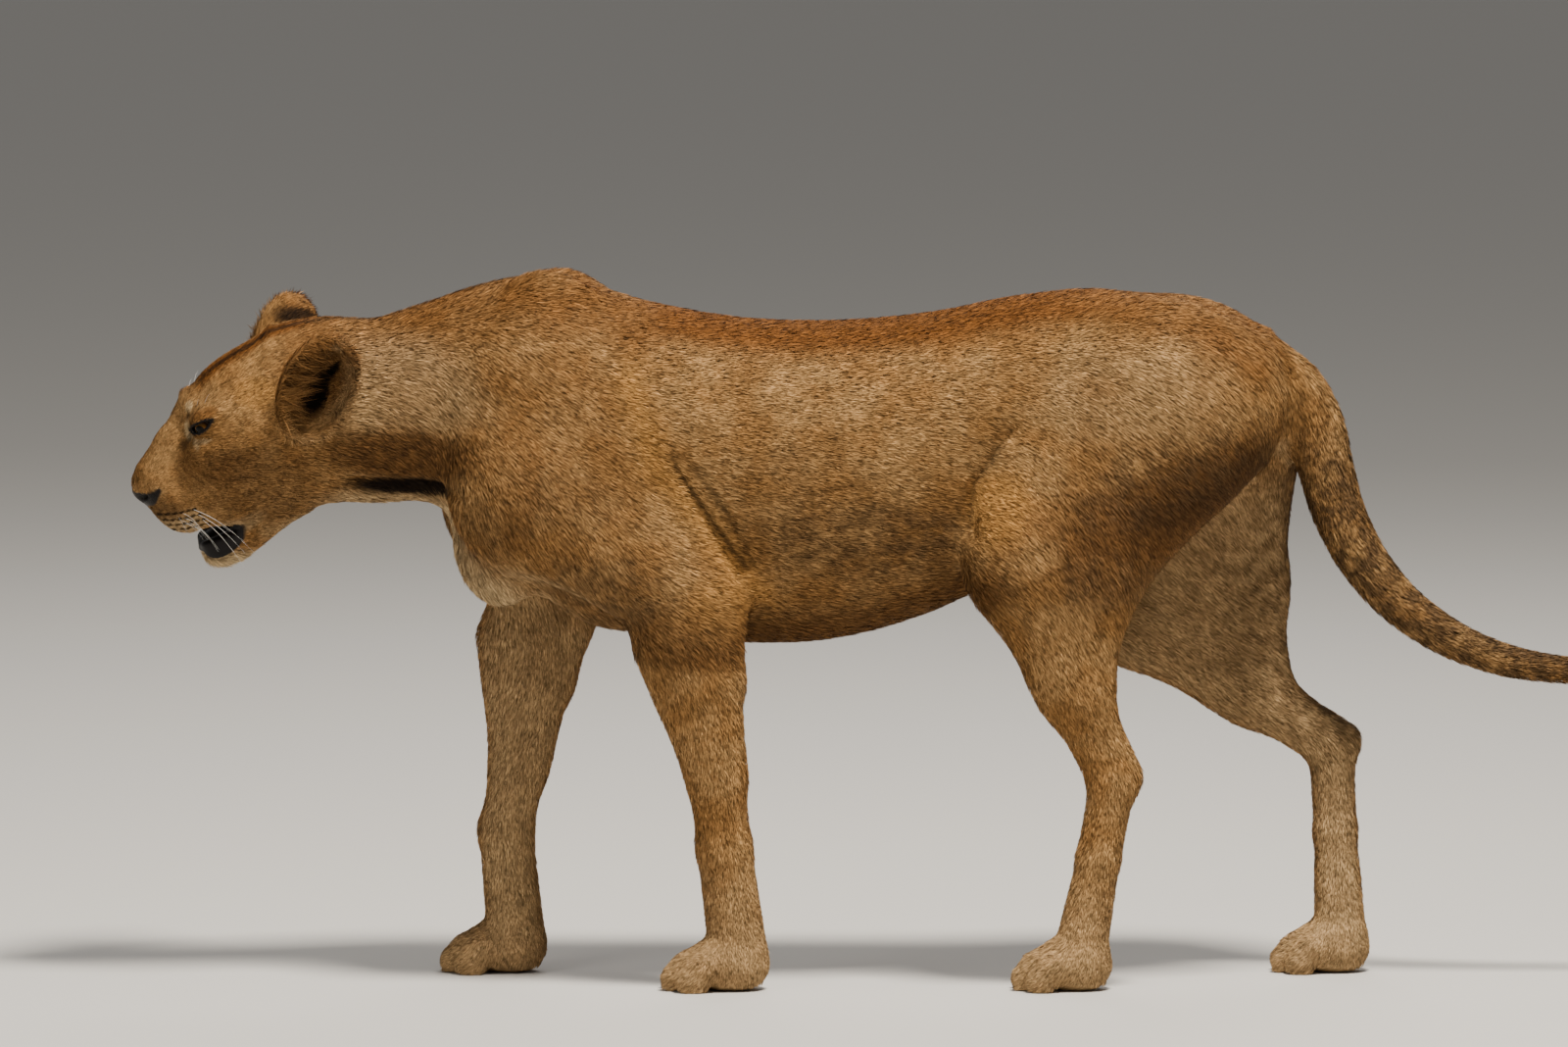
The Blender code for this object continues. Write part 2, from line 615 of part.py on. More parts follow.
def part_off(source, name, outline, near, far, place=in_world):
    """Takes the piece inside a block out of source as its own object, leaving a thin gap."""
    tight = prism(outline, near, far, place)
    wide = prism(outset(outline, CUT), near - CUT, far + CUT, place)
    piece = source.copy()
    piece.data = source.data.copy()
    piece.name = name
    bpy.context.scene.collection.objects.link(piece)
    boolean(piece, tight, "INTERSECT")
    boolean(source, wide, "DIFFERENCE")
    for cutter in (tight, wide):
        bpy.data.objects.remove(cutter)
    return piece


def box_outline(a0, a1, b0, b1):
    return [(a0, b0), (a1, b0), (a1, b1), (a0, b1)]


def part_body(body):
    """Parts the whole animal into its named pieces; what is left at the end is the trunk."""
    pieces = part_head(body)
    for side, word in ((LEFT, "left"), (RIGHT, "right")):
        for upper, middle, lower, rings, x0, x1, ankle, inside in (
                ("shoulder", "forearm", "forepaw", SHOULDERS, -0.800, -0.100, 0.100, 0.074),
                ("thigh", "shank", "hindpaw", THIGHS, -0.050, 0.620, 0.096, 0.062)):
            whole = sorted((side * 0.010, side * 0.300))
            outer = sorted((side * inside, side * 0.300))
            pieces.append(part_off(body, f"{lower}_{word}", box_outline(x0, x1, -0.1, ankle), *whole))
            pieces.append(part_off(body, f"{middle}_{word}", box_outline(x0, x1, -0.1, LEG_TOP), *whole))
            pieces.append(part_off(body, f"{upper}_{word}", hull_of(rings[side]), *outer))
    for name, outline in TAIL_CUTS.items():
        pieces.append(part_off(body, name, outline, -0.200, 0.200))
    body.name = "trunk"
    return pieces + [body]


def tidy_faces(obj):
    """Merges the flat faces the cuts left, and makes everything triangles again."""
    flat = obj.modifiers.new("flat", "DECIMATE")
    flat.decimate_type, flat.angle_limit = "DISSOLVE", math.radians(1.0)
    obj.modifiers.new("triangles", "TRIANGULATE")
    finish_modifiers(obj)
    drop_crumbs(obj.data)


def drop_crumbs(mesh):
    """Keeps only the largest of a mesh's separate shells."""
    bm = bmesh.new()
    bm.from_mesh(mesh)
    left, shells = set(bm.verts), []
    while left:
        shell, front = set(), [left.pop()]
        while front:
            vert = front.pop()
            shell.add(vert)
            for edge in vert.link_edges:
                other = edge.other_vert(vert)
                if other in left:
                    left.discard(other)
                    front.append(other)
        shells.append(shell)
    shells.sort(key=len)
    crumbs = [vert for shell in shells[:-1] for vert in shell]
    bmesh.ops.delete(bm, geom=crumbs, context="VERTS")
    bm.to_mesh(mesh)
    bm.free()


def part_head(body):
    """The ears, nose, lower jaw, head and neck, each off the body, and the two eyes."""
    pieces = []
    for side, word in ((LEFT, "left"), (RIGHT, "right")):
        middle, grows = EARS[side][:2]
        ring = hull_of([(middle[0] + way * grows[0], middle[2] + way * grows[2], 0.056) for way in (-0.026, 0.034)])
        depths = sorted((-side * 0.103, -side * 0.220))
        pieces.append(part_off(body, "ear_" + word, ring, *depths, in_skull))
    pad = [(0.106, -0.030), (0.106, -0.085), (0.140, -0.100), (0.140, -0.030)]
    pieces.append(part_off(body, "nose", pad, -0.030, 0.030, in_skull))
    chin = [(0.140, -0.150), (0.010, -0.153), (-0.075, -0.225), (-0.060, -0.270), (0.140, -0.270)]
    pieces.append(part_off(body, "jaw", chin, -0.090, 0.090, in_skull))
    skull = [(-1.200, 0.450), (-0.815, 0.450), (-0.838, 1.000), (-1.200, 1.000)]
    head = part_off(body, "head", skull, -0.300, 0.300)
    throat = [(-0.900, 0.450), (-0.715, 0.450), (-0.605, 1.000), (-0.900, 1.000)]
    pieces += [head, part_off(body, "neck", throat, -0.300, 0.300)]
    for side, word in ((LEFT, "left"), (RIGHT, "right")):
        middle = head_point((EYE[0], -side * EYE[1], EYE[2]))
        socket = ball("socket", middle, EYE_RADIUS + CUT)
        boolean(head, socket, "DIFFERENCE")
        bpy.data.objects.remove(socket)
        pieces.append(ball("eye_" + word, middle, EYE_RADIUS))
    return pieces


def ball(name, middle, radius):
    bm = bmesh.new()
    bmesh.ops.create_uvsphere(bm, u_segments=16, v_segments=9, radius=radius)
    bmesh.ops.translate(bm, verts=bm.verts, vec=Vector(middle))
    mesh = bpy.data.meshes.new(name)
    bm.to_mesh(mesh)
    bm.free()
    obj = bpy.data.objects.new(name, mesh)
    bpy.context.scene.collection.objects.link(obj)
    return obj


def paint(obj, name, colour, roughness):
    """Gives a piece its own material and a smooth finish with crisp cut edges."""
    material = bpy.data.materials.new(name)
    material.use_nodes = True
    shader = material.node_tree.nodes["Principled BSDF"]
    shader.inputs["Base Color"].default_value = (*colour, 1.0)
    shader.inputs["Roughness"].default_value = roughness
    shader.inputs["Metallic"].default_value = 0.0
    obj.data.materials.clear()
    obj.data.materials.append(material)
    obj.data.shade_smooth()
    obj.data.set_sharp_from_angle(angle=math.radians(50))


def main():
    clear_scene()
    body = whole_body()
    pieces = part_body(body)
    for piece in pieces:
        if not piece.name.startswith("eye"):
            tidy_faces(piece)
        paint(piece, *next(look for start, look in LOOKS.items() if piece.name.startswith(start)))
    return pieces


if __name__ == "__main__":
    main()
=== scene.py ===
import math
from functools import reduce

import bpy
import numpy as np
from mathutils import Matrix, Vector


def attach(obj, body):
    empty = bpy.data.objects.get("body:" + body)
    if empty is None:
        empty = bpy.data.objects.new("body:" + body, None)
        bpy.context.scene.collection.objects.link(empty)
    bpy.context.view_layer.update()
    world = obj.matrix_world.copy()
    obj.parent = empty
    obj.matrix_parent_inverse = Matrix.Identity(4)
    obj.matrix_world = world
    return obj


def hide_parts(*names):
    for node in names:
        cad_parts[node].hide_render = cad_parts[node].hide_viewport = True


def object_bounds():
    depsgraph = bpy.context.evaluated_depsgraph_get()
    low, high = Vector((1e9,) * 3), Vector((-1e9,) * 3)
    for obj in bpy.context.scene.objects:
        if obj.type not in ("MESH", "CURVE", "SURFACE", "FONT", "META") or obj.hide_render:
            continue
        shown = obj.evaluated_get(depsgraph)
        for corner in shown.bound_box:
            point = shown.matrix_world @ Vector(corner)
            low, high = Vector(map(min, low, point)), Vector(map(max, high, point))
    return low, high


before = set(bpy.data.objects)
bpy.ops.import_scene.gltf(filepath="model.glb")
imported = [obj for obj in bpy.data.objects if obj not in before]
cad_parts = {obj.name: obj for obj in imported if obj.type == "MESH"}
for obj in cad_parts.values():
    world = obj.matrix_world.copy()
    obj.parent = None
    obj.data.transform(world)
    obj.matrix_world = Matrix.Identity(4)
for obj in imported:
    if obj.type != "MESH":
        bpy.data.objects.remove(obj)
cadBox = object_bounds()
left, right = -1, 1                 # her left side faces -Y
print("frame loaded with", len(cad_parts), "nodes")

studio = {
    "lookAt": (-0.224, 0.0, 0.610),
    "elevation": 5, "distance": 16.0, "fieldWidth": 2.08,
    "floorColour": (0.56, 0.545, 0.52), "worldColour": (1.0, 0.98, 0.95), "worldStrength": 0.26,
    "lamps": [                      # name, place, size, power, colour
        ("keyLamp", (0.8, -2.0, 6.0), 1.2, 810, (1.0, 0.93, 0.82)),
        ("faceLamp", (-3.6, -3.6, 3.4), 2.0, 46, (1.0, 0.96, 0.90)),
        ("backLamp", (0.3, 4.0, 4.6), 3.0, 120, (1.0, 0.97, 0.94)),
    ],
}


def pick(*objects):                 # deselects everything, then picks these, the first one active
    bpy.ops.object.select_all(action="DESELECT")
    for obj in objects:
        obj.select_set(True)
    bpy.context.view_layer.objects.active = objects[0] if objects else None


def makeStudio():
    target = Vector(studio["lookAt"])
    tilt = math.radians(studio["elevation"])
    away = Vector((0, -math.cos(tilt), math.sin(tilt))) * studio["distance"]
    bpy.ops.object.camera_add(location=target + away, rotation=(math.pi / 2 - tilt, 0, 0))
    camera = bpy.context.object
    camera.name = "camera"
    camera.data.sensor_width = 36
    camera.data.lens = camera.data.sensor_width * studio["distance"] / studio["fieldWidth"]
    camera.data.clip_end = 100
    bpy.context.scene.camera = camera
    for name, place, size, power, colour in studio["lamps"]:
        aim = (target - Vector(place)).to_track_quat("-Z", "Y").to_euler()
        bpy.ops.object.light_add(type="AREA", location=place, rotation=aim)
        lamp = bpy.context.object
        lamp.name = name
        lamp.data.size, lamp.data.energy, lamp.data.color = size, power, colour
    pick()
    bpy.ops.mesh.primitive_plane_add(size=60)
    floor = bpy.context.object
    floor.name = "floor"
    paint = bpy.data.materials.new("floorPaint")
    paint.use_nodes = True
    shader = paint.node_tree.nodes["Principled BSDF"]
    shader.inputs["Base Color"].default_value = (*studio["floorColour"], 1)
    shader.inputs["Roughness"].default_value = 0.9
    floor.data.materials.append(paint)
    world = bpy.data.worlds.new("softLight")
    world.use_nodes = True
    sky = world.node_tree.nodes["Background"]
    sky.inputs["Color"].default_value = (*studio["worldColour"], 1)
    sky.inputs["Strength"].default_value = studio["worldStrength"]
    bpy.context.scene.world = world


makeStudio()
print("studio ready")

# The trunk and neck: x, top line, underline, half width, where the widest point is
trunk = {
    "stations": [
        (-0.900, 0.862, 0.690, 0.062, 0.10), (-0.835, 0.875, 0.645, 0.080, 0.05),
        (-0.770, 0.884, 0.637, 0.086, 0.00), (-0.700, 0.905, 0.638, 0.094, 0.00),
        (-0.640, 0.926, 0.615, 0.106, 0.00), (-0.580, 0.940, 0.548, 0.120, 0.05),
        (-0.500, 0.934, 0.484, 0.134, 0.10), (-0.400, 0.906, 0.462, 0.148, 0.10),
        (-0.290, 0.886, 0.452, 0.158, 0.05), (-0.160, 0.881, 0.457, 0.160, 0.00),
        (-0.030, 0.892, 0.492, 0.148, 0.05), (0.090, 0.915, 0.550, 0.126, 0.15),
        (0.200, 0.923, 0.600, 0.114, 0.25), (0.300, 0.900, 0.630, 0.104, 0.25),
        (0.400, 0.855, 0.680, 0.082, 0.20),
    ],
    "endRound": 0.03, "blend": 0.02,
}
# Joints of each leg: x, distance from the middle, z
foreLegs = {
    left: dict(blade=(-0.538, 0.062, 0.902), shoulder=(-0.578, 0.102, 0.655),
               elbow=(-0.338, 0.128, 0.512), wrist=(-0.303, 0.104, 0.190), foot=(-0.308, 0.100)),
    right: dict(blade=(-0.520, 0.062, 0.895), shoulder=(-0.590, 0.102, 0.640),
                elbow=(-0.535, 0.122, 0.490), wrist=(-0.596, 0.104, 0.190), foot=(-0.606, 0.100)),
}
hindLegs = {
    left: dict(hip=(0.285, 0.085, 0.768), seat=(0.355, 0.064, 0.783), knee=(0.080, 0.130, 0.568),
               ham=(0.180, 0.118, 0.535), hock=(0.210, 0.106, 0.275), foot=(0.150, 0.100)),
    right: dict(hip=(0.310, 0.085, 0.765), seat=(0.400, 0.064, 0.750), knee=(0.245, 0.128, 0.482),
                ham=(0.392, 0.112, 0.520), hock=(0.508, 0.104, 0.300), foot=(0.500, 0.100)),
}
# The tail's middle line: x, z, radius; the skin runs on thin under the tuft
tail = {
    "line": [
        (0.390, 0.815, 0.047), (0.445, 0.793, 0.043), (0.478, 0.745, 0.040), (0.494, 0.685, 0.038),
        (0.512, 0.625, 0.036), (0.542, 0.565, 0.034), (0.585, 0.512, 0.031), (0.635, 0.472, 0.028),
        (0.690, 0.443, 0.025), (0.750, 0.424, 0.022), (0.820, 0.415, 0.019), (0.890, 0.418, 0.017),
        (0.950, 0.430, 0.015), (0.990, 0.445, 0.012), (1.030, 0.464, 0.008),
    ],
    "tuftLine": [(0.925, 0.424, 0.018), (0.990, 0.445, 0.030), (1.040, 0.470, 0.026),
                 (1.086, 0.500, 0.010)],
}
# The head has its own frame: forward, left, up, from the point between the eyes
head = {
    "at": (-1.003, -0.016, 0.757), "pitch": 24, "roll": 15, "yaw": 6,
    "eye": (-0.008, 0.046, -0.001), "eyeRadius": 0.0185, "gaze": (0.62, 0.78, 0.02),
    "lidCorner": (-0.75, 0.62, 0.27), "slitWide": 0.035, "slitTall": 0.0086, "slitRise": 0.0034,
    "ears": {                       # middle, the way it grows, the way it faces
        left: ((-0.153, 0.119, 0.003), (-0.66, 0.16, 0.72), (0.42, 0.88, -0.20)),
        right: ((-0.139, -0.110, -0.016), (-0.55, -0.24, 0.76), (0.42, -0.88, -0.20)),
    },
}
# Half widths of an ear's eggs across, along and out; the shell ends in front, reach holds it all
earShape = {"shell": (0.051, 0.081, 0.041), "scoop": (0.040, 0.066, 0.041), "cup": (0.038, 0.064, 0.041),
            "front": 0.006, "reach": 0.084}


class Form:                         # distance is below zero inside, and about in metres near the skin
    def __init__(self, low, high, distance, blend, carve=False):
        self.low, self.high = np.array(low, float), np.array(high, float)
        self.distance, self.blend, self.carve = distance, blend, carve


def eggDistance(a, b, c, radii):
    near = np.sqrt((a / radii[0]) ** 2 + (b / radii[1]) ** 2 + (c / radii[2]) ** 2) + 1e-6
    steep = np.sqrt((a / radii[0] ** 2) ** 2 + (b / radii[1] ** 2) ** 2 + (c / radii[2] ** 2) ** 2) + 1e-6
    return near * (near - 1) / steep


def oval(centre, radii, blend, tilt=0.0, carve=False):
    c, s = math.cos(tilt), math.sin(tilt)

    def distance(x, y, z):
        dx, dz = x - centre[0], z - centre[2]
        return eggDistance(dx * c + dz * s, y - centre[1], dz * c - dx * s, radii)

    most = max(radii[0], radii[2])
    reach = np.array([most, radii[1], most])
    return Form(np.array(centre) - reach, np.array(centre) + reach, distance, blend, carve)


def limb(start, startRadius, end, endRadius, blend, flat=1.0, carve=False):
    a, b = np.array(start, float), np.array(end, float)
    along = b - a
    along[1] /= flat
    length2 = float(along @ along)

    def distance(x, y, z):
        px, py, pz = x - a[0], (y - a[1]) / flat, z - a[2]
        t = np.clip((px * along[0] + py * along[1] + pz * along[2]) / length2, 0, 1)
        gap = np.sqrt((px - t * along[0]) ** 2 + (py - t * along[1]) ** 2 + (pz - t * along[2]) ** 2)
        return (gap - (startRadius + t * (endRadius - startRadius))) * flat ** 0.5

    most = max(startRadius, endRadius)
    return Form(np.minimum(a, b) - most, np.maximum(a, b) + most, distance, blend, carve)


def smoothLine(knots, x):           # values at x of the smooth curve through knots (x, value, ...)
    table = np.array(knots, float)
    xs = table[:, 0]
    slope = np.gradient(table[:, 1:], xs, axis=0)
    x = np.clip(x, xs[0], xs[-1])
    i = np.clip(np.searchsorted(xs, x) - 1, 0, len(xs) - 2)
    step = xs[i + 1] - xs[i]
    t = (x - xs[i]) / step
    found = []
    for column in range(table.shape[1] - 1):
        p0, p1 = table[i, column + 1], table[i + 1, column + 1]
        m0, m1 = slope[i, column] * step, slope[i + 1, column] * step
        found.append(p0 * (2 * t**3 - 3 * t**2 + 1) + m0 * (t**3 - 2 * t**2 + t)
                     + p1 * (3 * t**2 - 2 * t**3) + m1 * (t**3 - t**2))
    return found


def trunkForm():
    first, last = trunk["stations"][0], trunk["stations"][-1]

    def distance(x, y, z):
        top, under, half, rise = smoothLine(trunk["stations"], x)
        middle, tall = (top + under) / 2, (top - under) / 2
        v = (z - middle) / tall
        wide = np.maximum(half * (1 + rise * v), 0.2 * half)
        u = y / wide
        near = np.sqrt(u**2 + v**2) + 1e-6
        steep = np.sqrt((u / wide) ** 2 + (v / tall) ** 2) + 1e-6
        past = np.maximum(np.maximum(first[0] - x, x - last[0]), -trunk["endRound"])
        return np.maximum(near * (near - 1) / steep, past)

    widest = max(s[3] for s in trunk["stations"]) * 1.3
    low = (first[0], -widest, min(s[2] for s in trunk["stations"]))
    high = (last[0], widest, max(s[1] for s in trunk["stations"]))
    return Form(low, high, distance, trunk["blend"])


def chain(points, blend):           # a round tapered form through points (x, z, radius)
    fine = np.linspace(0, len(points) - 1, (len(points) - 1) * 5 + 1)
    line = np.stack(smoothLine([(n, *point) for n, point in enumerate(points)], fine), axis=1)
    pieces = [limb((a[0], 0, a[1]), a[2], (b[0], 0, b[1]), b[2], blend)
              for a, b in zip(line, line[1:])]

    def distance(px, py, pz):
        return reduce(np.minimum, (piece.distance(px, py, pz) for piece in pieces))

    low = np.min([piece.low for piece in pieces], axis=0)
    high = np.max([piece.high for piece in pieces], axis=0)
    return Form(low, high, distance, blend)


def headAxes():
    pitch = math.radians(head["pitch"])
    forward = Vector((-math.cos(pitch), 0, -math.sin(pitch)))
    up = Vector((-math.sin(pitch), 0, math.cos(pitch)))
    roll = Matrix.Rotation(-math.radians(head["roll"]), 3, forward)
    yaw = Matrix.Rotation(math.radians(head["yaw"]), 3, Vector((0, 0, 1)))
    return np.array([yaw @ (roll @ axis) for axis in (forward, Vector((0, -1, 0)), up)])


axes = headAxes()


def fromHead(local):
    return np.array(head["at"]) + np.array(local) @ axes


def toHead(points):
    return (points - np.array(head["at"])) @ axes.T


def inHead(form, mirror=True):      # places a form told in the head's frame, on both sides if mirrored
    sides = (form.low[1], form.high[1], -form.low[1], -form.high[1])
    corners = [fromHead((f, l, u)) for f in (form.low[0], form.high[0]) for l in sides
               for u in (form.low[2], form.high[2])]
    at = head["at"]

    def distance(x, y, z):
        dx, dy, dz = x - at[0], y - at[1], z - at[2]
        f, l, u = (dx * a[0] + dy * a[1] + dz * a[2] for a in axes)
        return form.distance(f, np.abs(l) if mirror else l, u)

    return Form(np.min(corners, axis=0), np.max(corners, axis=0), distance, form.blend, form.carve)


def between(p, q, share, shift=(0, 0, 0)):
    return tuple(a + (b - a) * share + c for a, b, c in zip(p, q, shift))


def legPoints(joints, side, heel):
    at = {name: (p[0], side * p[1], p[2]) for name, p in joints.items() if len(p) == 3}
    foot = (joints["foot"][0], side * joints["foot"][1])
    return at, foot, (foot[0] + heel, foot[1], 0.060)


def pawForms(x, y, size):
    forms = [
        oval((x + 0.016 * size, y, 0.030), (0.048 * size, 0.043 * size, 0.034), 0.022),
        oval((x - 0.016 * size, y, 0.036), (0.042 * size, 0.042 * size, 0.028), 0.018, tilt=0.25),
    ]
    for across, ahead in ((-0.038, -0.036), (-0.0135, -0.056), (0.0135, -0.056), (0.038, -0.036)):
        cx, cy = x + ahead * size, y + across * size
        knuckle = (0.024 * size, 0.015 * size, 0.019)
        forms.append(oval((cx + 0.012 * size, cy, 0.032), knuckle, 0.008, tilt=0.35))
        forms.append(oval((cx, cy, 0.016), (0.023 * size, 0.016 * size, 0.020), 0.006))
    return forms


def foreLegForms(side):
    at, foot, pastern = legPoints(foreLegs[side], side, 0.022)
    blade, shoulder, elbow, wrist = (at[name] for name in ("blade", "shoulder", "elbow", "wrist"))
    bulk = between(elbow, wrist, 0.16, (-0.026, 0, 0))
    upper = between(shoulder, elbow, 0.10), between(shoulder, elbow, 0.85)
    return [
        limb(blade, 0.048, between(blade, shoulder, 0.75), 0.075, 0.050, flat=0.55),
        limb(between(blade, shoulder, 0.45), 0.085, elbow, 0.052, 0.045, flat=0.60),
        oval(shoulder, (0.085, 0.062, 0.098), 0.045, tilt=0.2),
        limb(upper[0], 0.078, upper[1], 0.064, 0.040, flat=0.75),
        limb(elbow, 0.052, between(elbow, wrist, 0.30), 0.052, 0.030, flat=0.80),
        limb(bulk, 0.066, between(elbow, wrist, 0.70), 0.039, 0.030, flat=0.75),
        limb(between(elbow, wrist, 0.50), 0.040, wrist, 0.036, 0.018, flat=0.95),
        limb(wrist, 0.0365, pastern, 0.039, 0.014, flat=0.95),
    ] + pawForms(*foot, 1.0)


def hindLegForms(side):
    at, foot, pastern = legPoints(hindLegs[side], side, 0.020)
    hip, seat, knee, ham, hock = (at[name] for name in ("hip", "seat", "knee", "ham", "hock"))
    haunch = (hip[0] - 0.012, side * 0.075, hip[2] + 0.010)
    calf = between(knee, ham, 0.12, (0, 0, -0.02)), between(knee, hock, 0.55)
    cord = between(knee, hock, 0.60, (0.012, 0, 0)), (hock[0] + 0.018, hock[1], hock[2] + 0.014)
    metatarsus = between(hock, pastern, 0.45)
    return [
        oval(haunch, (0.135, 0.085, 0.130), 0.060),
        limb(between(hip, knee, 0.10), 0.118, between(hip, knee, 0.85), 0.080, 0.050, flat=0.62),
        limb(seat, 0.060, ham, 0.050, 0.055, flat=0.75),
        limb(between(seat, hip, 0.5), 0.080, between(knee, ham, 0.6), 0.064, 0.050, flat=0.65),
        oval(knee, (0.062, 0.048, 0.066), 0.040),
        limb(calf[0], 0.062, calf[1], 0.046, 0.035, flat=0.80),
        limb(ham, 0.048, between(knee, hock, 0.62, (0.012, 0, 0.005)), 0.034, 0.040, flat=0.80),
        limb(between(knee, hock, 0.50), 0.042, hock, 0.030, 0.024, flat=0.85),
        limb(cord[0], 0.026, cord[1], 0.021, 0.020),
        limb(hock, 0.032, metatarsus, 0.029, 0.016),
        limb(metatarsus, 0.029, pastern, 0.035, 0.012),
    ] + pawForms(*foot, 0.93)


def widened(form, times):           # stretched to both sides of the head's middle
    def distance(f, l, u):
        return form.distance(f, l / times, u)

    low, high = np.array(form.low), np.array(form.high)
    low[1], high[1] = low[1] * times, high[1] * times
    return Form(low, high, distance, form.blend, form.carve)


def headForms():
    bridge = limb((-0.010, 0, -0.012), 0.030, (0.091, 0, -0.063), 0.020, 0.014)
    ridge = oval((0.048, 0, -0.042), (0.045, 0.021, 0.026), 0.014, tilt=-0.5)
    slope = [(0, 0, 0.0090), (0.046, 0, -0.0195), (0.090, 0, -0.0480)]
    face = [
        oval((-0.098, 0, -0.006), (0.095, 0.072, 0.064), 0.035),              # brain case
        oval((-0.165, 0, -0.020), (0.080, 0.078, 0.066), 0.040),
        oval((-0.045, 0, -0.012), (0.064, 0.054, 0.050), 0.030),              # brow
        oval((-0.055, 0.060, -0.045), (0.070, 0.036, 0.048), 0.035),          # cheek bone
        oval((-0.080, 0.048, -0.100), (0.066, 0.038, 0.062), 0.035),          # chewing muscle
        oval((-0.100, 0, -0.118), (0.085, 0.056, 0.058), 0.040),
        widened(bridge, 1.25),
        widened(ridge, 1.20),
        widened(limb(slope[0], 0.0225, slope[1], 0.0145, 0.016), 1.15),
        widened(limb(slope[1], 0.0145, slope[2], 0.0150, 0.016), 1.15),
        limb((0.000, 0.014, -0.070), 0.046, (0.066, 0.010, -0.082), 0.038, 0.030),
        oval((0.070, 0.031, -0.091), (0.033, 0.028, 0.038), 0.014),           # whisker pad
        limb((0.058, 0.035, -0.108), 0.026, (0.004, 0.046, -0.118), 0.028, 0.022),
        oval((-0.012, 0.048, -0.090), (0.046, 0.030, 0.042), 0.030),
        oval((0.103, 0, -0.064), (0.0155, 0.028, 0.016), 0.008),              # nose
        limb((0.003, 0.025, 0.002), 0.010, (-0.026, 0.049, 0.005), 0.0115, 0.020),
        oval((0.002, 0.050, -0.043), (0.036, 0.024, 0.028), 0.022),
        limb((-0.060, 0.018, -0.145), 0.040, (0.022, 0.012, -0.180), 0.030, 0.024),   # lower jaw
        oval((0.044, 0, -0.184), (0.026, 0.031, 0.028), 0.014),
        limb((0.052, 0.016, -0.166), 0.011, (0.002, 0.042, -0.164), 0.013, 0.010),
    ]
    return [inHead(form) for form in face]


def mouthGap():                     # the open mouth, told in the head's frame
    gap = limb((0.130, 0, -0.148), 0.016, (0.018, 0, -0.152), 0.007, 0.006, carve=True)
    return [widened(gap, 8), oval((0.036, 0, -0.146), (0.045, 0.026, 0.022), 0.008, carve=True)]


def mouthForms():
    tongue = oval((0.026, 0, -0.168), (0.038, 0.020, 0.010), 0.006)
    return [inHead(form) for form in (*mouthGap(), tongue)]


def noseForms():                    # nostrils curl out and back; a groove runs down to the lips
    nostril = [(0.1225, 0.0105, -0.0740), (0.1150, 0.0200, -0.0675), (0.0960, 0.0310, -0.0655)]
    return [
        inHead(limb(nostril[0], 0.0046, nostril[1], 0.0060, 0.003, carve=True)),
        inHead(limb(nostril[1], 0.0060, nostril[2], 0.0032, 0.003, carve=True)),
        inHead(limb((0.1260, 0, -0.0800), 0.0018, (0.1130, 0, -0.1200), 0.0020, 0.004, carve=True)),
    ]


def earFrame(side):
    middle, grows, faces = (Vector(v) for v in head["ears"][side])
    grows.normalize()
    faces = (faces - faces.dot(grows) * grows).normalized()
    return np.array(middle), np.array([grows.cross(faces), grows, faces])


def earShell(across, along, out):
    return eggDistance(across, along - 0.005, out + 0.002, earShape["shell"])


def earScoop(across, along, out, radii):
    return eggDistance(across, along - 0.003, out - 0.008, radii)


def inEar(local, side):             # across, along and out of the ear, for points in the head's frame
    middle, ways = earFrame(side)
    return (local - middle) @ ways.T


def earForms():                     # half an egg, with a smaller egg scooped out of it
    forms = []
    for side in (left, right):
        middle, ways = earFrame(side)

        def place(f, l, u, middle=middle, ways=ways):
            df, dl, du = f - middle[0], l - middle[1], u - middle[2]
            return [df * a[0] + dl * a[1] + du * a[2] for a in ways]

        def shell(f, l, u, place=place):
            at = place(f, l, u)
            return np.maximum(earShell(*at), at[2] - earShape["front"])

        def scoop(f, l, u, place=place):
            return earScoop(*place(f, l, u), earShape["scoop"])

        low, high = middle - earShape["reach"], middle + earShape["reach"]
        forms += [inHead(Form(low, high, shell, 0.020), mirror=False),
                  inHead(Form(low, high, scoop, 0.008, True), mirror=False)]
    return forms


def eyeFrame():
    gaze = Vector(head["gaze"]).normalized()
    corner = Vector(head["lidCorner"])
    corner = (corner - corner.dot(gaze) * gaze).normalized()
    return np.array([corner, gaze.cross(corner), gaze])     # towards the outer corner, up, ahead


def slitDistance(f, l, u):          # the almond opening between the lids, as a tube along the gaze
    wide, tall, rise = head["slitWide"], head["slitTall"], head["slitRise"]
    bend = (wide**2 + tall**2) / (4 * tall)
    ways, eye = eyeFrame(), head["eye"]
    a, b, ahead = ((f - eye[0]) * w[0] + (l - eye[1]) * w[1] + (u - eye[2]) * w[2] for w in ways)
    upper = np.sqrt(a**2 + (b - rise + bend - tall / 2) ** 2) - bend
    lower = np.sqrt(a**2 + (b - rise - bend + tall / 2) ** 2) - bend
    return np.maximum(np.maximum(upper, lower), 0.010 - ahead)


def eyeForms():
    eye, radius = np.array(head["eye"]), head["eyeRadius"]
    hood = [((0.012, 0.035, 0.003), 0.0042), ((0.001, 0.0545, 0.0100), 0.0056),
            ((-0.022, 0.063, 0.0105), 0.0045)]
    return [
        inHead(oval(eye, (radius + 0.004,) * 3, 0.010)),
        *(inHead(limb(*start, *end, 0.009)) for start, end in zip(hood, hood[1:])),
        inHead(Form(eye - 0.034, eye + 0.034, slitDistance, 0.003, True)),
        inHead(oval(eye, (radius + 0.0003,) * 3, 0.001, carve=True)),
    ]


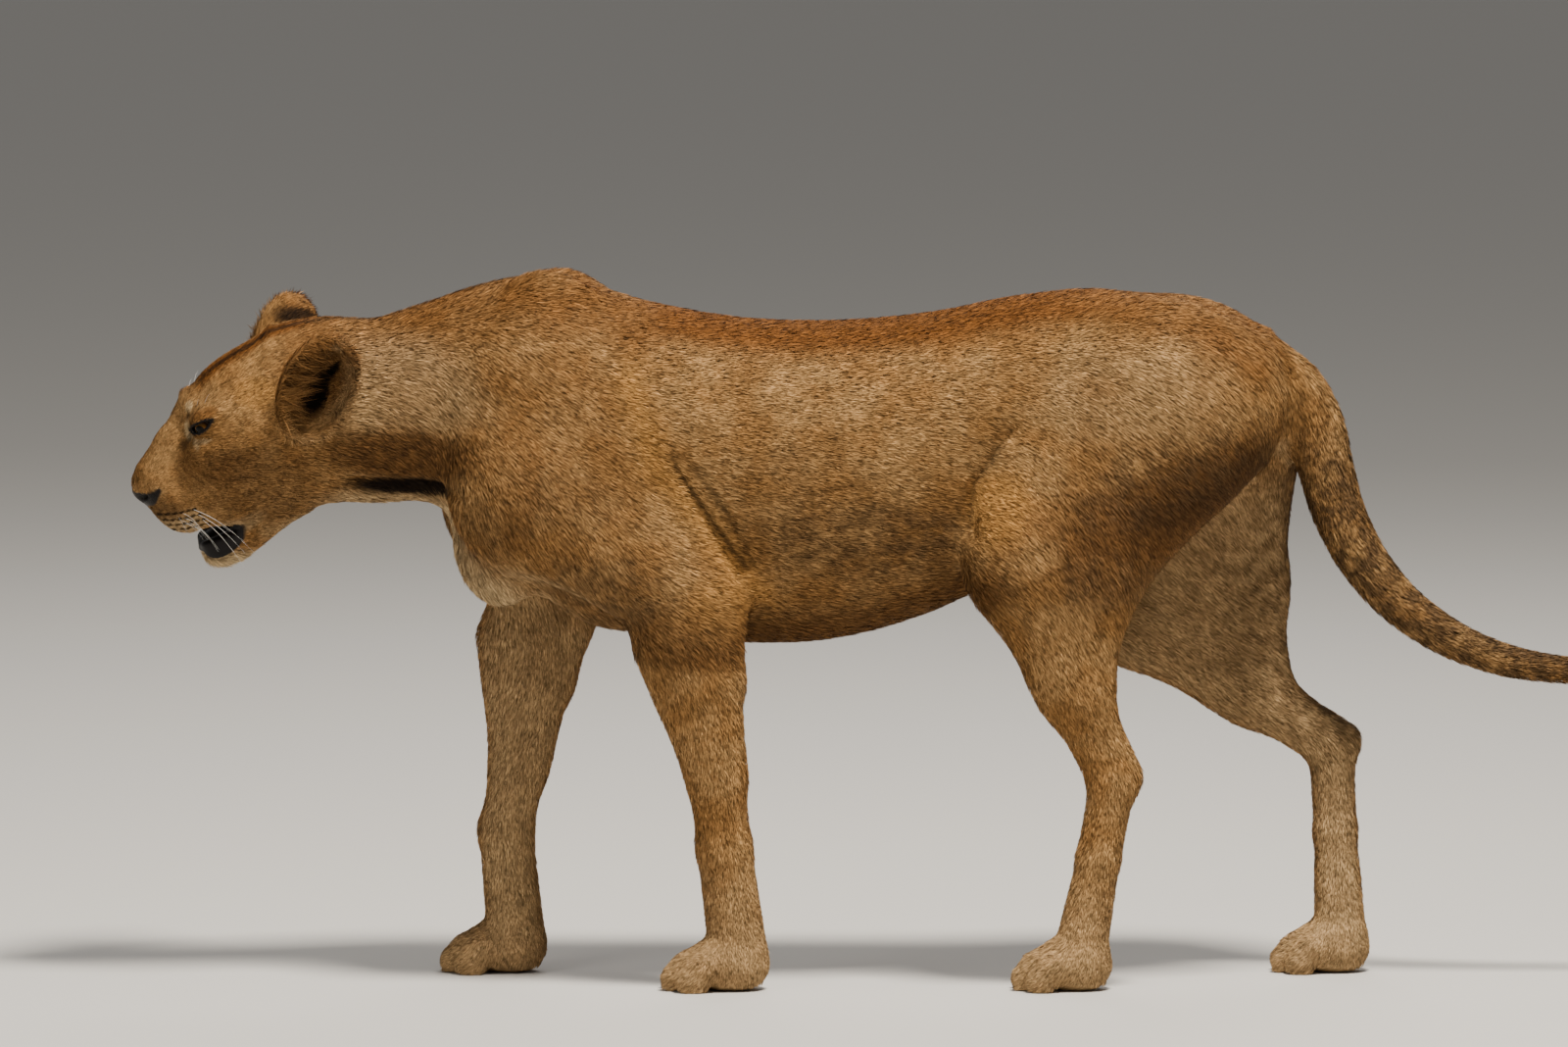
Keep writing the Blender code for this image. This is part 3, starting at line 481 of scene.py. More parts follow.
def sculpture():
    rump = oval((0.335, 0, 0.776), (0.105, 0.098, 0.098), 0.050)
    brisket = oval((-0.599, 0, 0.600), (0.066, 0.080, 0.100), 0.040)
    forms = [trunkForm(), rump, brisket]
    for side in (left, right):
        forms += foreLegForms(side) + hindLegForms(side)
    forms.append(chain(tail["line"], 0.040))
    return forms + headForms() + earForms() + eyeForms() + mouthForms() + noseForms()


# The grid that the sculpture is worked out on: where each stretch starts, and its spacing
grid = {
    "x": [(-1.12, 0.0020), (-0.93, 0.0028), (-0.80, 0.0060), (1.14, 0)],
    "y": [(-0.24, 0.0048), (-0.11, 0.0024), (0.08, 0.0048), (0.24, 0)],
    "z": [(-0.02, 0.0032), (0.10, 0.0062), (0.50, 0.0024), (0.80, 0.0045), (0.98, 0)],
    "reach": 0.018, "wantedTriangles": 192000, "faceEnd": -0.90, "faceWeight": 0.55,
}


def gridLines(stops):
    lines = []
    for (start, spacing), (end, _) in zip(stops, stops[1:]):
        count = max(1, round((end - start) / spacing))
        lines += [start + (end - start) * n / count for n in range(count)]
    return np.array(lines + [stops[-1][0]], np.float32)


def smoothLeast(a, b, blend):
    near = np.maximum(blend - np.abs(a - b), 0) / blend
    return np.minimum(a, b) - near * near * blend * 0.25


def volumeOf(forms, lines):
    volume = np.full([len(line) for line in lines], 1, np.float32)
    for form in forms:
        reach = grid["reach"] + form.blend
        ends = [np.searchsorted(line, (low - reach, high + reach))
                for line, low, high in zip(lines, form.low, form.high)]
        window = tuple(slice(max(0, first - 1), last + 1) for first, last in ends)
        x, y, z = np.ix_(*(line[part] for line, part in zip(lines, window)))
        value = form.distance(x, y, z).astype(np.float32)
        block = volume[window]
        volume[window] = -smoothLeast(-block, value, form.blend) if form.carve else smoothLeast(
            block, value, form.blend)
    return volume


def netOf(volume, lines):           # one point in each crossed cell, one quad for each crossed edge
    inside = volume < 0
    shape = np.array(volume.shape) - 1
    count = np.zeros(shape, np.int8)
    for corner in np.ndindex(2, 2, 2):
        count += inside[tuple(slice(c, c + n) for c, n in zip(corner, shape))]
    crossed = (count > 0) & (count < 8)
    cells = np.argwhere(crossed)
    number = np.full(shape, -1, np.int32)
    number[crossed] = np.arange(len(cells))
    total, hits = np.zeros((len(cells), 3)), np.zeros(len(cells))
    for axis in range(3):
        others = [n for n in range(3) if n != axis]
        for shift in np.ndindex(2, 2):
            start = cells.copy()
            start[:, others[0]] += shift[0]
            start[:, others[1]] += shift[1]
            end = start.copy()
            end[:, axis] += 1
            a, b = volume[tuple(start.T)], volume[tuple(end.T)]
            crosses = (a < 0) != (b < 0)
            share = a[crosses] / (a[crosses] - b[crosses])
            place = np.stack([lines[n][start[crosses, n]] for n in range(3)], axis=1).astype(float)
            place[:, axis] += share * (lines[axis][end[crosses, axis]] - place[:, axis])
            total[crosses] += place
            hits[crosses] += 1
    quads = []
    for axis in range(3):
        second, third = (axis + 1) % 3, (axis + 2) % 3
        low, high = [slice(1, -1)] * 3, [slice(1, -1)] * 3
        low[axis], high[axis] = slice(0, -1), slice(1, None)
        at = np.argwhere(inside[tuple(low)] != inside[tuple(high)])
        at[:, second] += 1
        at[:, third] += 1
        ring = []
        for backSecond, backThird in ((1, 1), (0, 1), (0, 0), (1, 0)):
            cell = at.copy()
            cell[:, second] -= backSecond
            cell[:, third] -= backThird
            ring.append(number[tuple(cell.T)])
        ring = np.stack(ring, axis=1)
        leaving = inside[tuple(at.T)]
        ring[~leaving] = ring[~leaving][:, ::-1]
        quads.append(ring)
    return total / hits[:, None], np.concatenate(quads)


def meshFrom(name, points, faces):  # a mesh object from arrays of points and of faces
    mesh = bpy.data.meshes.new(name)
    mesh.vertices.add(len(points))
    mesh.vertices.foreach_set("co", np.asarray(points, np.float32).ravel())
    mesh.loops.add(faces.size)
    mesh.loops.foreach_set("vertex_index", np.asarray(faces, np.int32).ravel())
    mesh.polygons.add(len(faces))
    mesh.polygons.foreach_set("loop_start", np.arange(0, faces.size, faces.shape[1], dtype=np.int32))
    mesh.update(calc_edges=True)
    obj = bpy.data.objects.new(name, mesh)
    bpy.context.scene.collection.objects.link(obj)
    return obj


def readPoints(mesh):
    points = np.empty(len(mesh.vertices) * 3, np.float32)
    mesh.vertices.foreach_get("co", points)
    return points.reshape(-1, 3).astype(float)


def readMesh(mesh):                 # points, normals and triangles of a mesh of triangles
    normals, corners = np.empty(len(mesh.vertices) * 3, np.float32), np.empty(len(mesh.loops), np.int32)
    mesh.vertex_normals.foreach_get("vector", normals)
    mesh.loops.foreach_get("vertex_index", corners)
    return readPoints(mesh), normals.reshape(-1, 3).astype(float), corners.reshape(-1, 3)


def makeSkin():
    lines = [gridLines(grid[axis]) for axis in "xyz"]
    volume = volumeOf(sculpture(), lines)
    points, quads = netOf(volume, lines)
    print("net of", len(quads), "quads")
    skin = meshFrom("skin", points, quads)
    group = skin.vertex_groups.new(name="plain")
    face = points[:, 0] < grid["faceEnd"]
    group.add(np.flatnonzero(face).tolist(), grid["faceWeight"], "REPLACE")
    group.add(np.flatnonzero(~face).tolist(), 1.0, "REPLACE")
    ease = skin.modifiers.new("ease", "SMOOTH")
    ease.factor, ease.iterations = 0.4, 2
    thin = skin.modifiers.new("thin", "DECIMATE")
    thin.ratio = grid["wantedTriangles"] / (2 * len(quads))
    thin.vertex_group = group.name
    skin.modifiers.new("split", "TRIANGULATE")
    pick(skin)
    for name in ("ease", "thin", "split"):
        bpy.ops.object.modifier_apply(modifier=name)
    skin.vertex_groups.clear()
    skin.data.shade_smooth()
    return skin


skin = makeSkin()
print("skin of", len(skin.data.polygons), "triangles")

coat = {
    "zones": {                      # length and width of a tuft, its cover of the skin, share of dark tips
        "trunk": (0.0135, 0.0012, 2.10, 0.32), "neck": (0.0150, 0.0012, 2.25, 0.50),
        "leg": (0.0110, 0.0013, 2.05, 0.16), "paw": (0.0070, 0.0011, 2.15, 0.10),
        "tail": (0.0150, 0.0016, 3.0, 0.45), "head": (0.0085, 0.0009, 2.30, 0.34),
        "muzzle": (0.0050, 0.0008, 2.30, 0.20), "chin": (0.0130, 0.0009, 2.9, 0.05),
        "ear": (0.0100, 0.0010, 2.8, 0.40),
    },
    "depthShare": 0.30, "lift": 15, "softness": 0.6, "uvPatch": 0.0015, "seed": 7,
}
# Creases and ridges drawn on the sides: which side, the stroke through (x, z), half width, height
reliefs = [
    (left, [(-0.374, 0.708), (-0.332, 0.630), (-0.284, 0.556)], 0.0070, -0.0070),
    (left, [(-0.350, 0.700), (-0.305, 0.625), (-0.266, 0.570)], 0.0060, -0.0045),
    (right, [(-0.470, 0.700), (-0.445, 0.630), (-0.430, 0.560)], 0.0080, -0.0060),
    (left, [(0.0754, 0.745), (0.056, 0.722), (0.023, 0.673), (0.014, 0.615)], 0.0100, -0.0100),
    (right, [(0.160, 0.745), (0.140, 0.700), (0.128, 0.640), (0.130, 0.570)], 0.0100, -0.0080),
    (left, [(-0.800, 0.671), (-0.730, 0.668), (-0.660, 0.662)], 0.0090, -0.0090),
]
# Patches of the coat: mark, centre, radii, strength, tilt if any; head ones are told in the head's frame
# and on both sides of it
headPatches = [
    ("lip", (0.036, 0.036, -0.164), (0.041, 0.030, 0.021), 1.0, -0.35),
    ("lip", (0.050, 0, -0.152), (0.055, 0.036, 0.016), 1.0),
    ("lip", (0.060, 0, -0.166), (0.022, 0.030, 0.012), 1.0),
    # the inside of the mouth and the tongue, near-black as painted shade
    ("flesh", (0.026, 0, -0.166), (0.042, 0.017, 0.014), 1.0),
    ("pale", (0.045, 0, -0.198), (0.040, 0.048, 0.028), 1.0),
    ("pale", (0.008, 0.050, -0.142), (0.034, 0.026, 0.018), 0.75),
    ("pale", (0.073, 0.040, -0.112), (0.036, 0.030, 0.024), 0.55),
    ("pale", (0.0185, 0.034, -0.0060), (0.0140, 0.016, 0.0066), 0.80, -1.15),
    ("pale", (0.0080, 0.028, 0.0215), (0.0080, 0.012, 0.0045), 0.75, -1.0),
    ("pale", (0.0190, 0.046, -0.0225), (0.0100, 0.018, 0.0048), 0.75, -1.15),
    ("pale", (0.0050, 0.055, -0.0165), (0.0120, 0.016, 0.0044), 0.55, -0.13),
    ("dark", (0.0090, 0.055, -0.0245), (0.0100, 0.012, 0.0026), 0.60, -0.20),
    ("dark", (0.0350, 0.036, -0.0215), (0.0065, 0.014, 0.0045), 0.60, -0.70),
    ("dark", (0.0240, 0.036, -0.0150), (0.0100, 0.010, 0.0026), 0.50, -0.70),
    # painted shadow of the brow hood above the eye
    ("dark", (0.0125, 0.028, 0.0090), (0.0100, 0.010, 0.0022), 0.60, -1.40),
    ("dark", (0.0020, 0.046, 0.0085), (0.0120, 0.016, 0.0028), 0.75, -0.45),
    ("rufous", (-0.0060, 0.058, 0.0160), (0.0170, 0.016, 0.0060), 0.60),
    ("pale", (-0.060, 0, -0.165), (0.090, 0.050, 0.035), 0.6),
    # painted shade under the cheek bone, on the lower cheek and jaw, and on the side of the muzzle
    ("brown", (-0.018, 0.060, -0.060), (0.052, 0.050, 0.032), 0.72, 0.2),
    ("brown", (-0.045, 0.060, -0.110), (0.080, 0.060, 0.060), 0.50, 0.2),
    ("brown", (0.036, 0.050, -0.052), (0.026, 0.034, 0.030), 0.45, -0.5),
    ("brown", (0.080, 0.040, -0.086), (0.028, 0.034, 0.018), 0.50, 0.3),
    # dark mottle with painted shade on the whisker pad and under the jaw
    ("ash", (0.088, 0.030, -0.090), (0.024, 0.030, 0.014), 0.75, -0.2),
    ("ash", (-0.050, 0, -0.130), (0.050, 0.100, 0.030), 0.40),
    # painted highlight on the temple
    ("gold", (-0.075, 0.075, 0.020), (0.030, 0.030, 0.022), 0.60, 0.4),
]
bodyPatches = [
    ("pale", (-0.740, 0, 0.790), (0.120, 0.300, 0.070), 0.28),
    ("pale", (-0.640, 0, 0.560), (0.080, 0.080, 0.120), 0.80, 0.2),
    ("pale", (-0.760, 0, 0.640), (0.150, 0.060, 0.030), 0.60),
    ("dark", (-0.520, 0, 0.665), (0.060, 0.300, 0.045), 0.16),
    ("pale", (0.235, 0, 0.790), (0.140, 0.300, 0.080), 0.14),
    ("rufous", (-0.520, 0, 0.790), (0.130, 0.300, 0.100), 0.22),
    # painted highlights on the front of the knee and on the elbow
    ("gold", (0.050, 0, 0.640), (0.045, 0.300, 0.060), 0.75, -0.5),
    ("gold", (-0.300, 0, 0.515), (0.070, 0.300, 0.050), 0.55),
    # dark mottle of the coat, laid low on the trunk, shoulder and thigh as painted shade; the last patch
    # greys the tail
    ("ash", (-0.120, 0, 0.605), (0.170, 0.300, 0.060), 0.95),
    ("ash", (-0.200, 0, 0.690), (0.090, 0.300, 0.060), 0.50),
    ("ash", (-0.460, 0, 0.535), (0.100, 0.300, 0.065), 0.90),
    ("ash", (-0.500, 0, 0.640), (0.100, 0.300, 0.060), 0.45),
    ("ash", (0.270, 0, 0.690), (0.170, 0.300, 0.060), 0.90, 0.35),
    ("ash", (0.190, 0, 0.550), (0.100, 0.300, 0.050), 0.70),
    ("ash", (0.640, 0, 0.500), (0.320, 0.300, 0.260), 1.60),
    # painted shade low on the neck, on the lower thighs and on the chest
    ("brown", (-0.720, 0, 0.710), (0.120, 0.300, 0.036), 0.90),
    *(("brown", (0.285, y, 0.645), (0.200, 0.080, 0.068), 0.95, 0.36) for y in (-0.130, 0.130)),
    ("brown", (0.195, -0.130, 0.585), (0.075, 0.090, 0.070), 0.80, 0.30),
    ("brown", (-0.590, 0, 0.640), (0.050, 0.300, 0.090), 0.45, -0.4),
    # painted shade: a near-black band along the fold low on the left of the neck
    ("dark", (-0.728, -0.060, 0.668), (0.085, 0.070, 0.012), 1.0),
]
# Lighter or darker lines in the coat, painted highlights along lit ridges and painted shade along creases
# and the thigh's rear edge: side, mark, the stroke through (x, z), half width, strength
strokeMarks = [
    (left, "gold", [(-0.434, 0.812), (-0.402, 0.705), (-0.331, 0.617), (-0.262, 0.529)], 0.022, 0.75),
    # painted shade along the creases behind the elbow, the flank crease and the thigh's rear edge
    (left, "dark", [(-0.374, 0.700), (-0.332, 0.641), (-0.281, 0.565)], 0.0045, 0.75),
    (left, "dark", [(-0.352, 0.700), (-0.306, 0.641), (-0.270, 0.572)], 0.0035, 0.55),
    (left, "dark", [(0.060, 0.722), (0.023, 0.673), (0.014, 0.615)], 0.0050, 0.65),
    (left, "dark", [(0.240, 0.632), (0.300, 0.645), (0.360, 0.672), (0.408, 0.712)], 0.024, 0.45),
    (right, "gold", [(-0.500, 0.800), (-0.485, 0.700), (-0.465, 0.610), (-0.450, 0.530)], 0.022, 0.60),
    (right, "dark", [(0.150, 0.730), (0.135, 0.680), (0.127, 0.620)], 0.0050, 0.50),
]
# Patches of an ear, told on her right one: mark, face of the ear, centre, radii, strength, tilt
earPatches = [
    ("dark", "behind", (0, 0, 0.048), (0.036, 1, 0.016), 0.92, 0.0),
    ("dark", "behind", (0, 0, -0.020), (0.045, 1, 0.012), 0.85, 0.0),
    # near-black painted shade deep in the ear's hollow
    ("hollow", "inside", (-0.001, 0, -0.013), (0.018, 1, 0.033), 1.0, -0.15),
    ("hollow", "inside", (-0.008, 0, 0.018), (0.028, 1, 0.0075), 1.0, -1.31),
    ("hollow", "inside", (0.016, 0, 0.012), (0.022, 1, 0.034), 0.55, 0.0),
]
# The bare nose in the head's frame: half widths, heights of its edges, its back end, slopes
nosePad = {"wide": 0.031, "lowWide": 0.0070, "low": -0.096, "middle": -0.076, "top": -0.0610,
           "back": 0.086, "rise": 0.10, "slant": 0.80,
           "wing": [(0.112, -0.0735), (0.100, -0.0700), (0.0865, -0.0605)]}
spots = {"rows": 4, "perRow": 6, "first": (0.099, -0.090), "back": (-0.0085, -0.0015),
         "down": (-0.0030, -0.0090), "size": 0.0021}
markNames = ("pale", "dark", "rufous", "gold", "ash", "brown", "nose", "lip", "flesh", "cup", "hollow")


def smooth(low, high, value):       # 0 below low, 1 above high, eased between; low may be the larger
    t = np.clip((value - low) / (high - low), 0, 1)
    return t * t * (3 - 2 * t)


def mix(a, b, share):
    return a + (b - a) * share


def patch(points, centre, radii, tilt=0.0):
    d = points - np.array(centre)
    c, s = math.cos(tilt), math.sin(tilt)
    u, w = d[:, 0] * c + d[:, 2] * s, d[:, 2] * c - d[:, 0] * s
    size = np.sqrt((u / radii[0]) ** 2 + (d[:, 1] / radii[1]) ** 2 + (w / radii[2]) ** 2)
    return smooth(1.30, 0.70, size)


def unit(vectors):                  # the same directions at length 1
    return vectors / (np.linalg.norm(vectors, axis=-1, keepdims=True) + 1e-9)


def spotPlaces():                   # (forward, up) of each whisker's dark root on the muzzle
    return [(spots["first"][0] + n * spots["back"][0] + row * spots["down"][0],
             spots["first"][1] + n * spots["back"][1] + row * spots["down"][1])
            for row in range(spots["rows"]) for n in range(spots["perRow"])]


def layNose(lay, folded, isHead):   # the bare pad, the line down to the lip and the wings of the nostrils
    f, l, u = folded.T
    low, top, back = (nosePad[name] for name in ("low", "top", "back"))
    halfWide = mix(nosePad["lowWide"], nosePad["wide"], smooth(low, nosePad["middle"], u))
    brim = top + nosePad["rise"] * (f - back) - 0.10 * l
    pad = smooth(0.002, -0.002, l - halfWide) * smooth(0.0015, -0.0015, u - brim)
    rear = back + nosePad["slant"] * (top - u)
    lay("nose", pad * smooth(-0.002, 0.002, f - rear) * smooth(low - 0.004, low, u))
    lay("nose", smooth(0.0032, 0.0014, l) * (u < -0.086) * (u > -0.122) * (f > 0.09) * isHead)
    wing = strokeDistance(folded, nosePad["wing"]) - mix(0.0034, 0.0080, smooth(0.086, 0.105, f))
    lay("nose", smooth(0.0015, -0.0015, wing) * isHead)


def layFace(lay, local, folded, isHead):    # lips, lids, whisker spots and the line over the crown
    f, l, u = folded.T
    gape = np.minimum(*(form.distance(f, local[:, 1], u) for form in mouthGap()))
    lay("lip", smooth(0.0065, 0.0030, gape) * isHead * smooth(-0.030, -0.015, f))
    lay("lip", smooth(0.0055, 0.0030, np.abs(slitDistance(f, l, u))) * isHead * (f > -0.05))
    for ahead, high in spotPlaces():
        spread = np.hypot((f - ahead) * 0.55, u - high)
        lay("dark", 0.95 * smooth(1.3, 0.6, spread / spots["size"]) * (l > 0.015) * isHead)
    crown = smooth(0.0085, 0.0035, np.abs(local[:, 1] - 0.002)) * smooth(0.03, -0.05, f)
    lay("dark", 0.75 * crown * (u > 0.02) * isHead)
    lay("rufous", smooth(0.030, 0.010, l) * smooth(0.02, -0.03, f) * (u > 0) * isHead)


def layEar(lay, local, normals, side):
    across, along, out = inEar(local, side).T
    near = smooth(0.090, 0.080, np.sqrt(across**2 + along**2 + out**2))
    towards = normals @ (earFrame(side)[1][2] @ axes)
    where = {"behind": near * smooth(0.004, -0.004, out) * smooth(-0.2, -0.6, towards),
             "inside": near * smooth(-0.1, 0.2, towards)}
    flat = np.stack([side * across, 0 * out, along], 1)
    for name, face, centre, radii, strength, tilt in earPatches:
        lay(name, strength * where[face] * patch(flat, centre, radii, tilt))
    rear = -side * across
    hollow = earScoop(across, along, out, earShape["cup"])
    edge = np.hypot(across / earShape["scoop"][0], (along - 0.003) / earShape["scoop"][1])
    brim = smooth(0.60, 0.95, edge) * mix(0.30, 0.85, smooth(-0.025, 0.010, rear + 0.3 * along))
    lay("cup", near * smooth(0.012, 0.006, hollow) * smooth(-0.2, 0.2, towards) * (1 - brim))
    ring = smooth(0.012, 0.006, np.abs(hollow - 0.010)) * smooth(0.000, 0.006, out)
    lay("pale", 0.4 * near * ring * smooth(-0.020, 0.005, rear))
    # painted shade on the front part of the rim
    lay("brown", 0.5 * near * ring * smooth(-0.010, -0.030, rear))


def layBody(lay, points, normals, isHead):  # rufous back, line of the mane, underside, legs and tail
    x, y, z = points.T
    top, under = smoothLine(trunk["stations"], x)[:2]
    onTrunk = smooth(-0.94, -0.86, x) * smooth(0.46, 0.40, x)
    reach = mix(0.066, 0.110, smooth(-0.36, -0.46, x))
    fade = mix(1.0, 0.60, smooth(0.08, 0.30, x)) * mix(1.0, 0.62, smooth(-0.36, -0.48, x))
    lay("rufous", smooth(1.0, 0.35, (top - z) / reach) * fade * onTrunk)
    mane = smooth(0.010, 0.003, np.abs(y + 0.004)) * smooth(-0.50, -0.62, x)
    lay("dark", 0.50 * mane * (z > 0.80) * onTrunk)
    lay("pale", 0.45 * smooth(-0.60, -0.90, normals[:, 2]) * smooth(0.44, 0.50, z) * (1 - isHead))
    # painted shade along the underside of the belly
    below = smooth(0.095, 0.020, z - under) * smooth(-0.030, -0.010, z - under)
    below *= smooth(-0.62, -0.30, x) * smooth(0.13, 0.03, x)
    lay("brown", 0.92 * below * smooth(0.4, -0.2, normals[:, 2]))
    inward = smooth(0.15, 0.75, -normals[:, 1] * np.sign(y)) * (np.abs(y) > 0.01)
    lay("pale", 0.42 * inward * smooth(0.72, 0.62, z) * (1 - isHead) * smooth(-0.70, -0.62, x))
    # painted shade on the inner sides of the legs
    lay("ash", 0.60 * inward * smooth(0.74, 0.66, z) * smooth(0.20, 0.40, z) * (1 - isHead))
    lay("pale", 0.35 * smooth(0.22, 0.02, z) * (1 - isHead))
    lay("dark", smooth(0.900, 0.970, x))
    lay("dark", 0.35 * smooth(0.55, 0.85, x) * smooth(0.0, 0.6, normals[:, 2]))


def marksAt(points, normals):
    marks = {name: np.zeros(len(points)) for name in markNames}

    def lay(name, amount):
        marks[name] = np.maximum(marks[name], amount)

    local = toHead(points)
    folded = local * 1
    folded[:, 1] = np.abs(folded[:, 1])
    isHead = smooth(-0.80, -0.88, points[:, 0])
    for patches, place, share in ((headPatches, folded, isHead), (bodyPatches, points, 1 - isHead)):
        for name, centre, radii, strength, *tilt in patches:
            lay(name, strength * patch(place, centre, radii, *tilt) * share)
    for side, name, stroke, width, strength in strokeMarks:
        near = np.exp(-((strokeDistance(points, stroke) / width) ** 2))
        lay(name, strength * near * smooth(0.05, 0.08, points[:, 1] * side))
    layNose(lay, folded, isHead)
    layFace(lay, local, folded, isHead)
    layEar(lay, local, normals, left)
    layEar(lay, local, normals, right)
    layBody(lay, points, normals, isHead)
    marks["lip"] = smooth(0.30, 0.60, marks["lip"])
    marks["ash"] *= 1 - marks["pale"]
    marks["pale"] *= 1 - 0.7 * marks["brown"]
    return marks


def coatAt(points):                 # length, width, cover and dark tips of the tufts that grow here
    local = toHead(points)
    x, _, z = points.T
    toEar = np.min([np.linalg.norm(inEar(local, side), axis=1) for side in (left, right)], axis=0)
    share = {
        "trunk": 1.0, "neck": smooth(-0.56, -0.66, x), "leg": smooth(0.50, 0.36, z) * (x < 0.62),
        "paw": smooth(0.16, 0.04, z), "tail": smooth(0.055, 0.045, tailDistance(points)),
        "head": smooth(-0.80, -0.90, x), "muzzle": smooth(-0.01, 0.05, local[:, 0]),
        "chin": patch(local, (0.040, 0, -0.200), (0.050, 0.050, 0.030)),
        "ear": smooth(0.092, 0.080, toEar) * (x < -0.80),
    }
    found = np.zeros((4, len(points)))
    for zone, values in coat["zones"].items():
        found = mix(found, np.array(values)[:, None], share[zone])
    return found


def strokeDistance(points, stroke):  # from the line through (x, z), seen from the side
    best = np.full(len(points), 9.0)
    flat = points[:, [0, 2]]
    for a, b in zip(np.array(stroke), np.array(stroke)[1:]):
        way = b - a
        t = np.clip((flat - a) @ way / (way @ way), 0, 1)
        best = np.minimum(best, np.linalg.norm(flat - a - t[:, None] * way, axis=1))
    return best


def tailDistance(points):
    return np.hypot(strokeDistance(points, [stop[:2] for stop in tail["line"][2:]]), points[:, 1])


# Which way the hair lies: place, direction, reach; each is mirrored, head ones in the head's frame
headLie = [
    ((0.105, 0, -0.05), (-1, 0, 0.45), 0.03), ((0.06, 0.01, -0.015), (-1, 0, 0.45), 0.035),
    ((0.01, 0, 0.03), (-1, 0, 0.45), 0.04), ((-0.06, 0, 0.06), (-1, 0, 0.1), 0.05),
    ((-0.13, 0, 0.06), (-1, 0, -0.1), 0.05), ((0.08, 0.045, -0.092), (-0.9, 0.3, -0.25), 0.03),
    ((0.085, 0.035, -0.12), (-0.7, 0.3, -0.7), 0.025), ((0.03, 0.055, -0.1), (-1, 0.1, -0.2), 0.04),
    ((0.03, 0.04, -0.04), (-0.85, 0.4, -0.1), 0.028), ((-0.02, 0.065, -0.035), (-0.95, 0.2, -0.25), 0.04),
    ((-0.01, 0.05, 0.022), (-0.9, 0.4, 0.3), 0.028), ((-0.07, 0.07, 0.01), (-1, 0.2, 0.1), 0.045),
    ((-0.06, 0.08, -0.06), (-0.95, 0.1, -0.3), 0.05), ((-0.1, 0.08, -0.1), (-0.9, 0.1, -0.5), 0.05),
    ((0.05, 0.0, -0.2), (-0.8, 0, -0.6), 0.035), ((-0.03, 0.03, -0.18), (-1, 0, -0.15), 0.05),
]
bodyLie = [
    ((-0.820, 0.080, 0.800), (1, 0, -0.20), 0.08), ((-0.760, 0, 0.890), (1, 0, 0.10), 0.07),
    ((-0.760, 0, 0.650), (1, 0, -0.10), 0.07), ((-0.700, 0.090, 0.760), (0.9, 0, -0.45), 0.08),
    ((-0.560, 0, 0.940), (1, 0, 0.05), 0.08), ((-0.570, 0.120, 0.800), (0.75, 0, -0.60), 0.10),
    ((-0.620, 0.110, 0.640), (0.45, 0, -0.85), 0.09), ((-0.670, 0, 0.600), (0.3, 0, -0.95), 0.08),
    ((-0.450, 0.140, 0.760), (0.9, 0, -0.40), 0.10), ((-0.480, 0.140, 0.580), (0.55, 0, -0.80), 0.10),
    ((-0.350, 0, 0.910), (1, 0, 0), 0.12), ((-0.250, 0.150, 0.760), (1, 0, -0.22), 0.14),
    ((-0.250, 0.150, 0.600), (1, 0, -0.15), 0.14), ((-0.200, 0, 0.470), (1, 0, 0), 0.12),
    ((-0.050, 0, 0.900), (1, 0, 0), 0.14), ((0.000, 0.140, 0.760), (0.95, 0, -0.25), 0.14),
    ((0.000, 0.120, 0.600), (0.95, 0, -0.10), 0.12), ((0.080, 0, 0.560), (1, 0, 0.15), 0.10),
    ((0.180, 0, 0.930), (1, 0, 0), 0.12), ((0.180, 0.110, 0.820), (0.9, 0, -0.35), 0.12),
    ((0.300, 0.110, 0.830), (0.85, 0, -0.50), 0.10), ((0.250, 0.130, 0.700), (0.7, 0, -0.75), 0.10),
    ((0.120, 0.140, 0.620), (0.25, 0, -0.95), 0.10), ((0.400, 0.060, 0.780), (0.3, 0, -1.0), 0.09),
]


def legGuides(joints, names, heel, side):
    at, foot, pastern = legPoints(joints, side, heel)
    stops = [np.array(at[name]) for name in names] + [np.array(pastern)]
    guides = [(np.array([foot[0] - 0.05, foot[1], 0.03]), np.array([-0.9, 0, -0.45]), 0.045)]
    for a, b in zip(stops, stops[1:]):
        for share in (0.25, 0.55, 0.85):
            if a[2] + (b[2] - a[2]) * share < 0.56:
                guides.append((a + (b - a) * share, b - a, 0.060))
    return guides


def lieGuides():
    guides = []
    for side in (left, right):
        flip = np.array([1, side, 1])
        guides += [(fromHead(flip * place), (flip * way) @ axes, reach) for place, way, reach in headLie]
        guides += [(flip * place, flip * np.array(way, float), reach) for place, way, reach in bodyLie]
        guides += legGuides(foreLegs[side], ("shoulder", "elbow", "wrist"), 0.022, side)
        guides += legGuides(hindLegs[side], ("knee", "hock"), 0.020, side)
        middle, ways = earFrame(side)
        guides.append((fromHead(middle), ways[1] @ axes, 0.055))
    for a, b in zip(tail["line"][1:], tail["line"][2:]):
        guides.append((np.array([a[0], 0, a[1]]), np.array([b[0] - a[0], 0, b[1] - a[1]]), 0.045))
    return guides


def lieAt(points, normals):
    lie = np.tile([1e-4, 0, -1e-5], (len(points), 1))
    for place, way, reach in lieGuides():
        weight = np.exp(-((points - place) ** 2).sum(1) / reach**2)
        lie += weight[:, None] * unit(way)
    return unit(lie - (lie * normals).sum(1)[:, None] * normals)


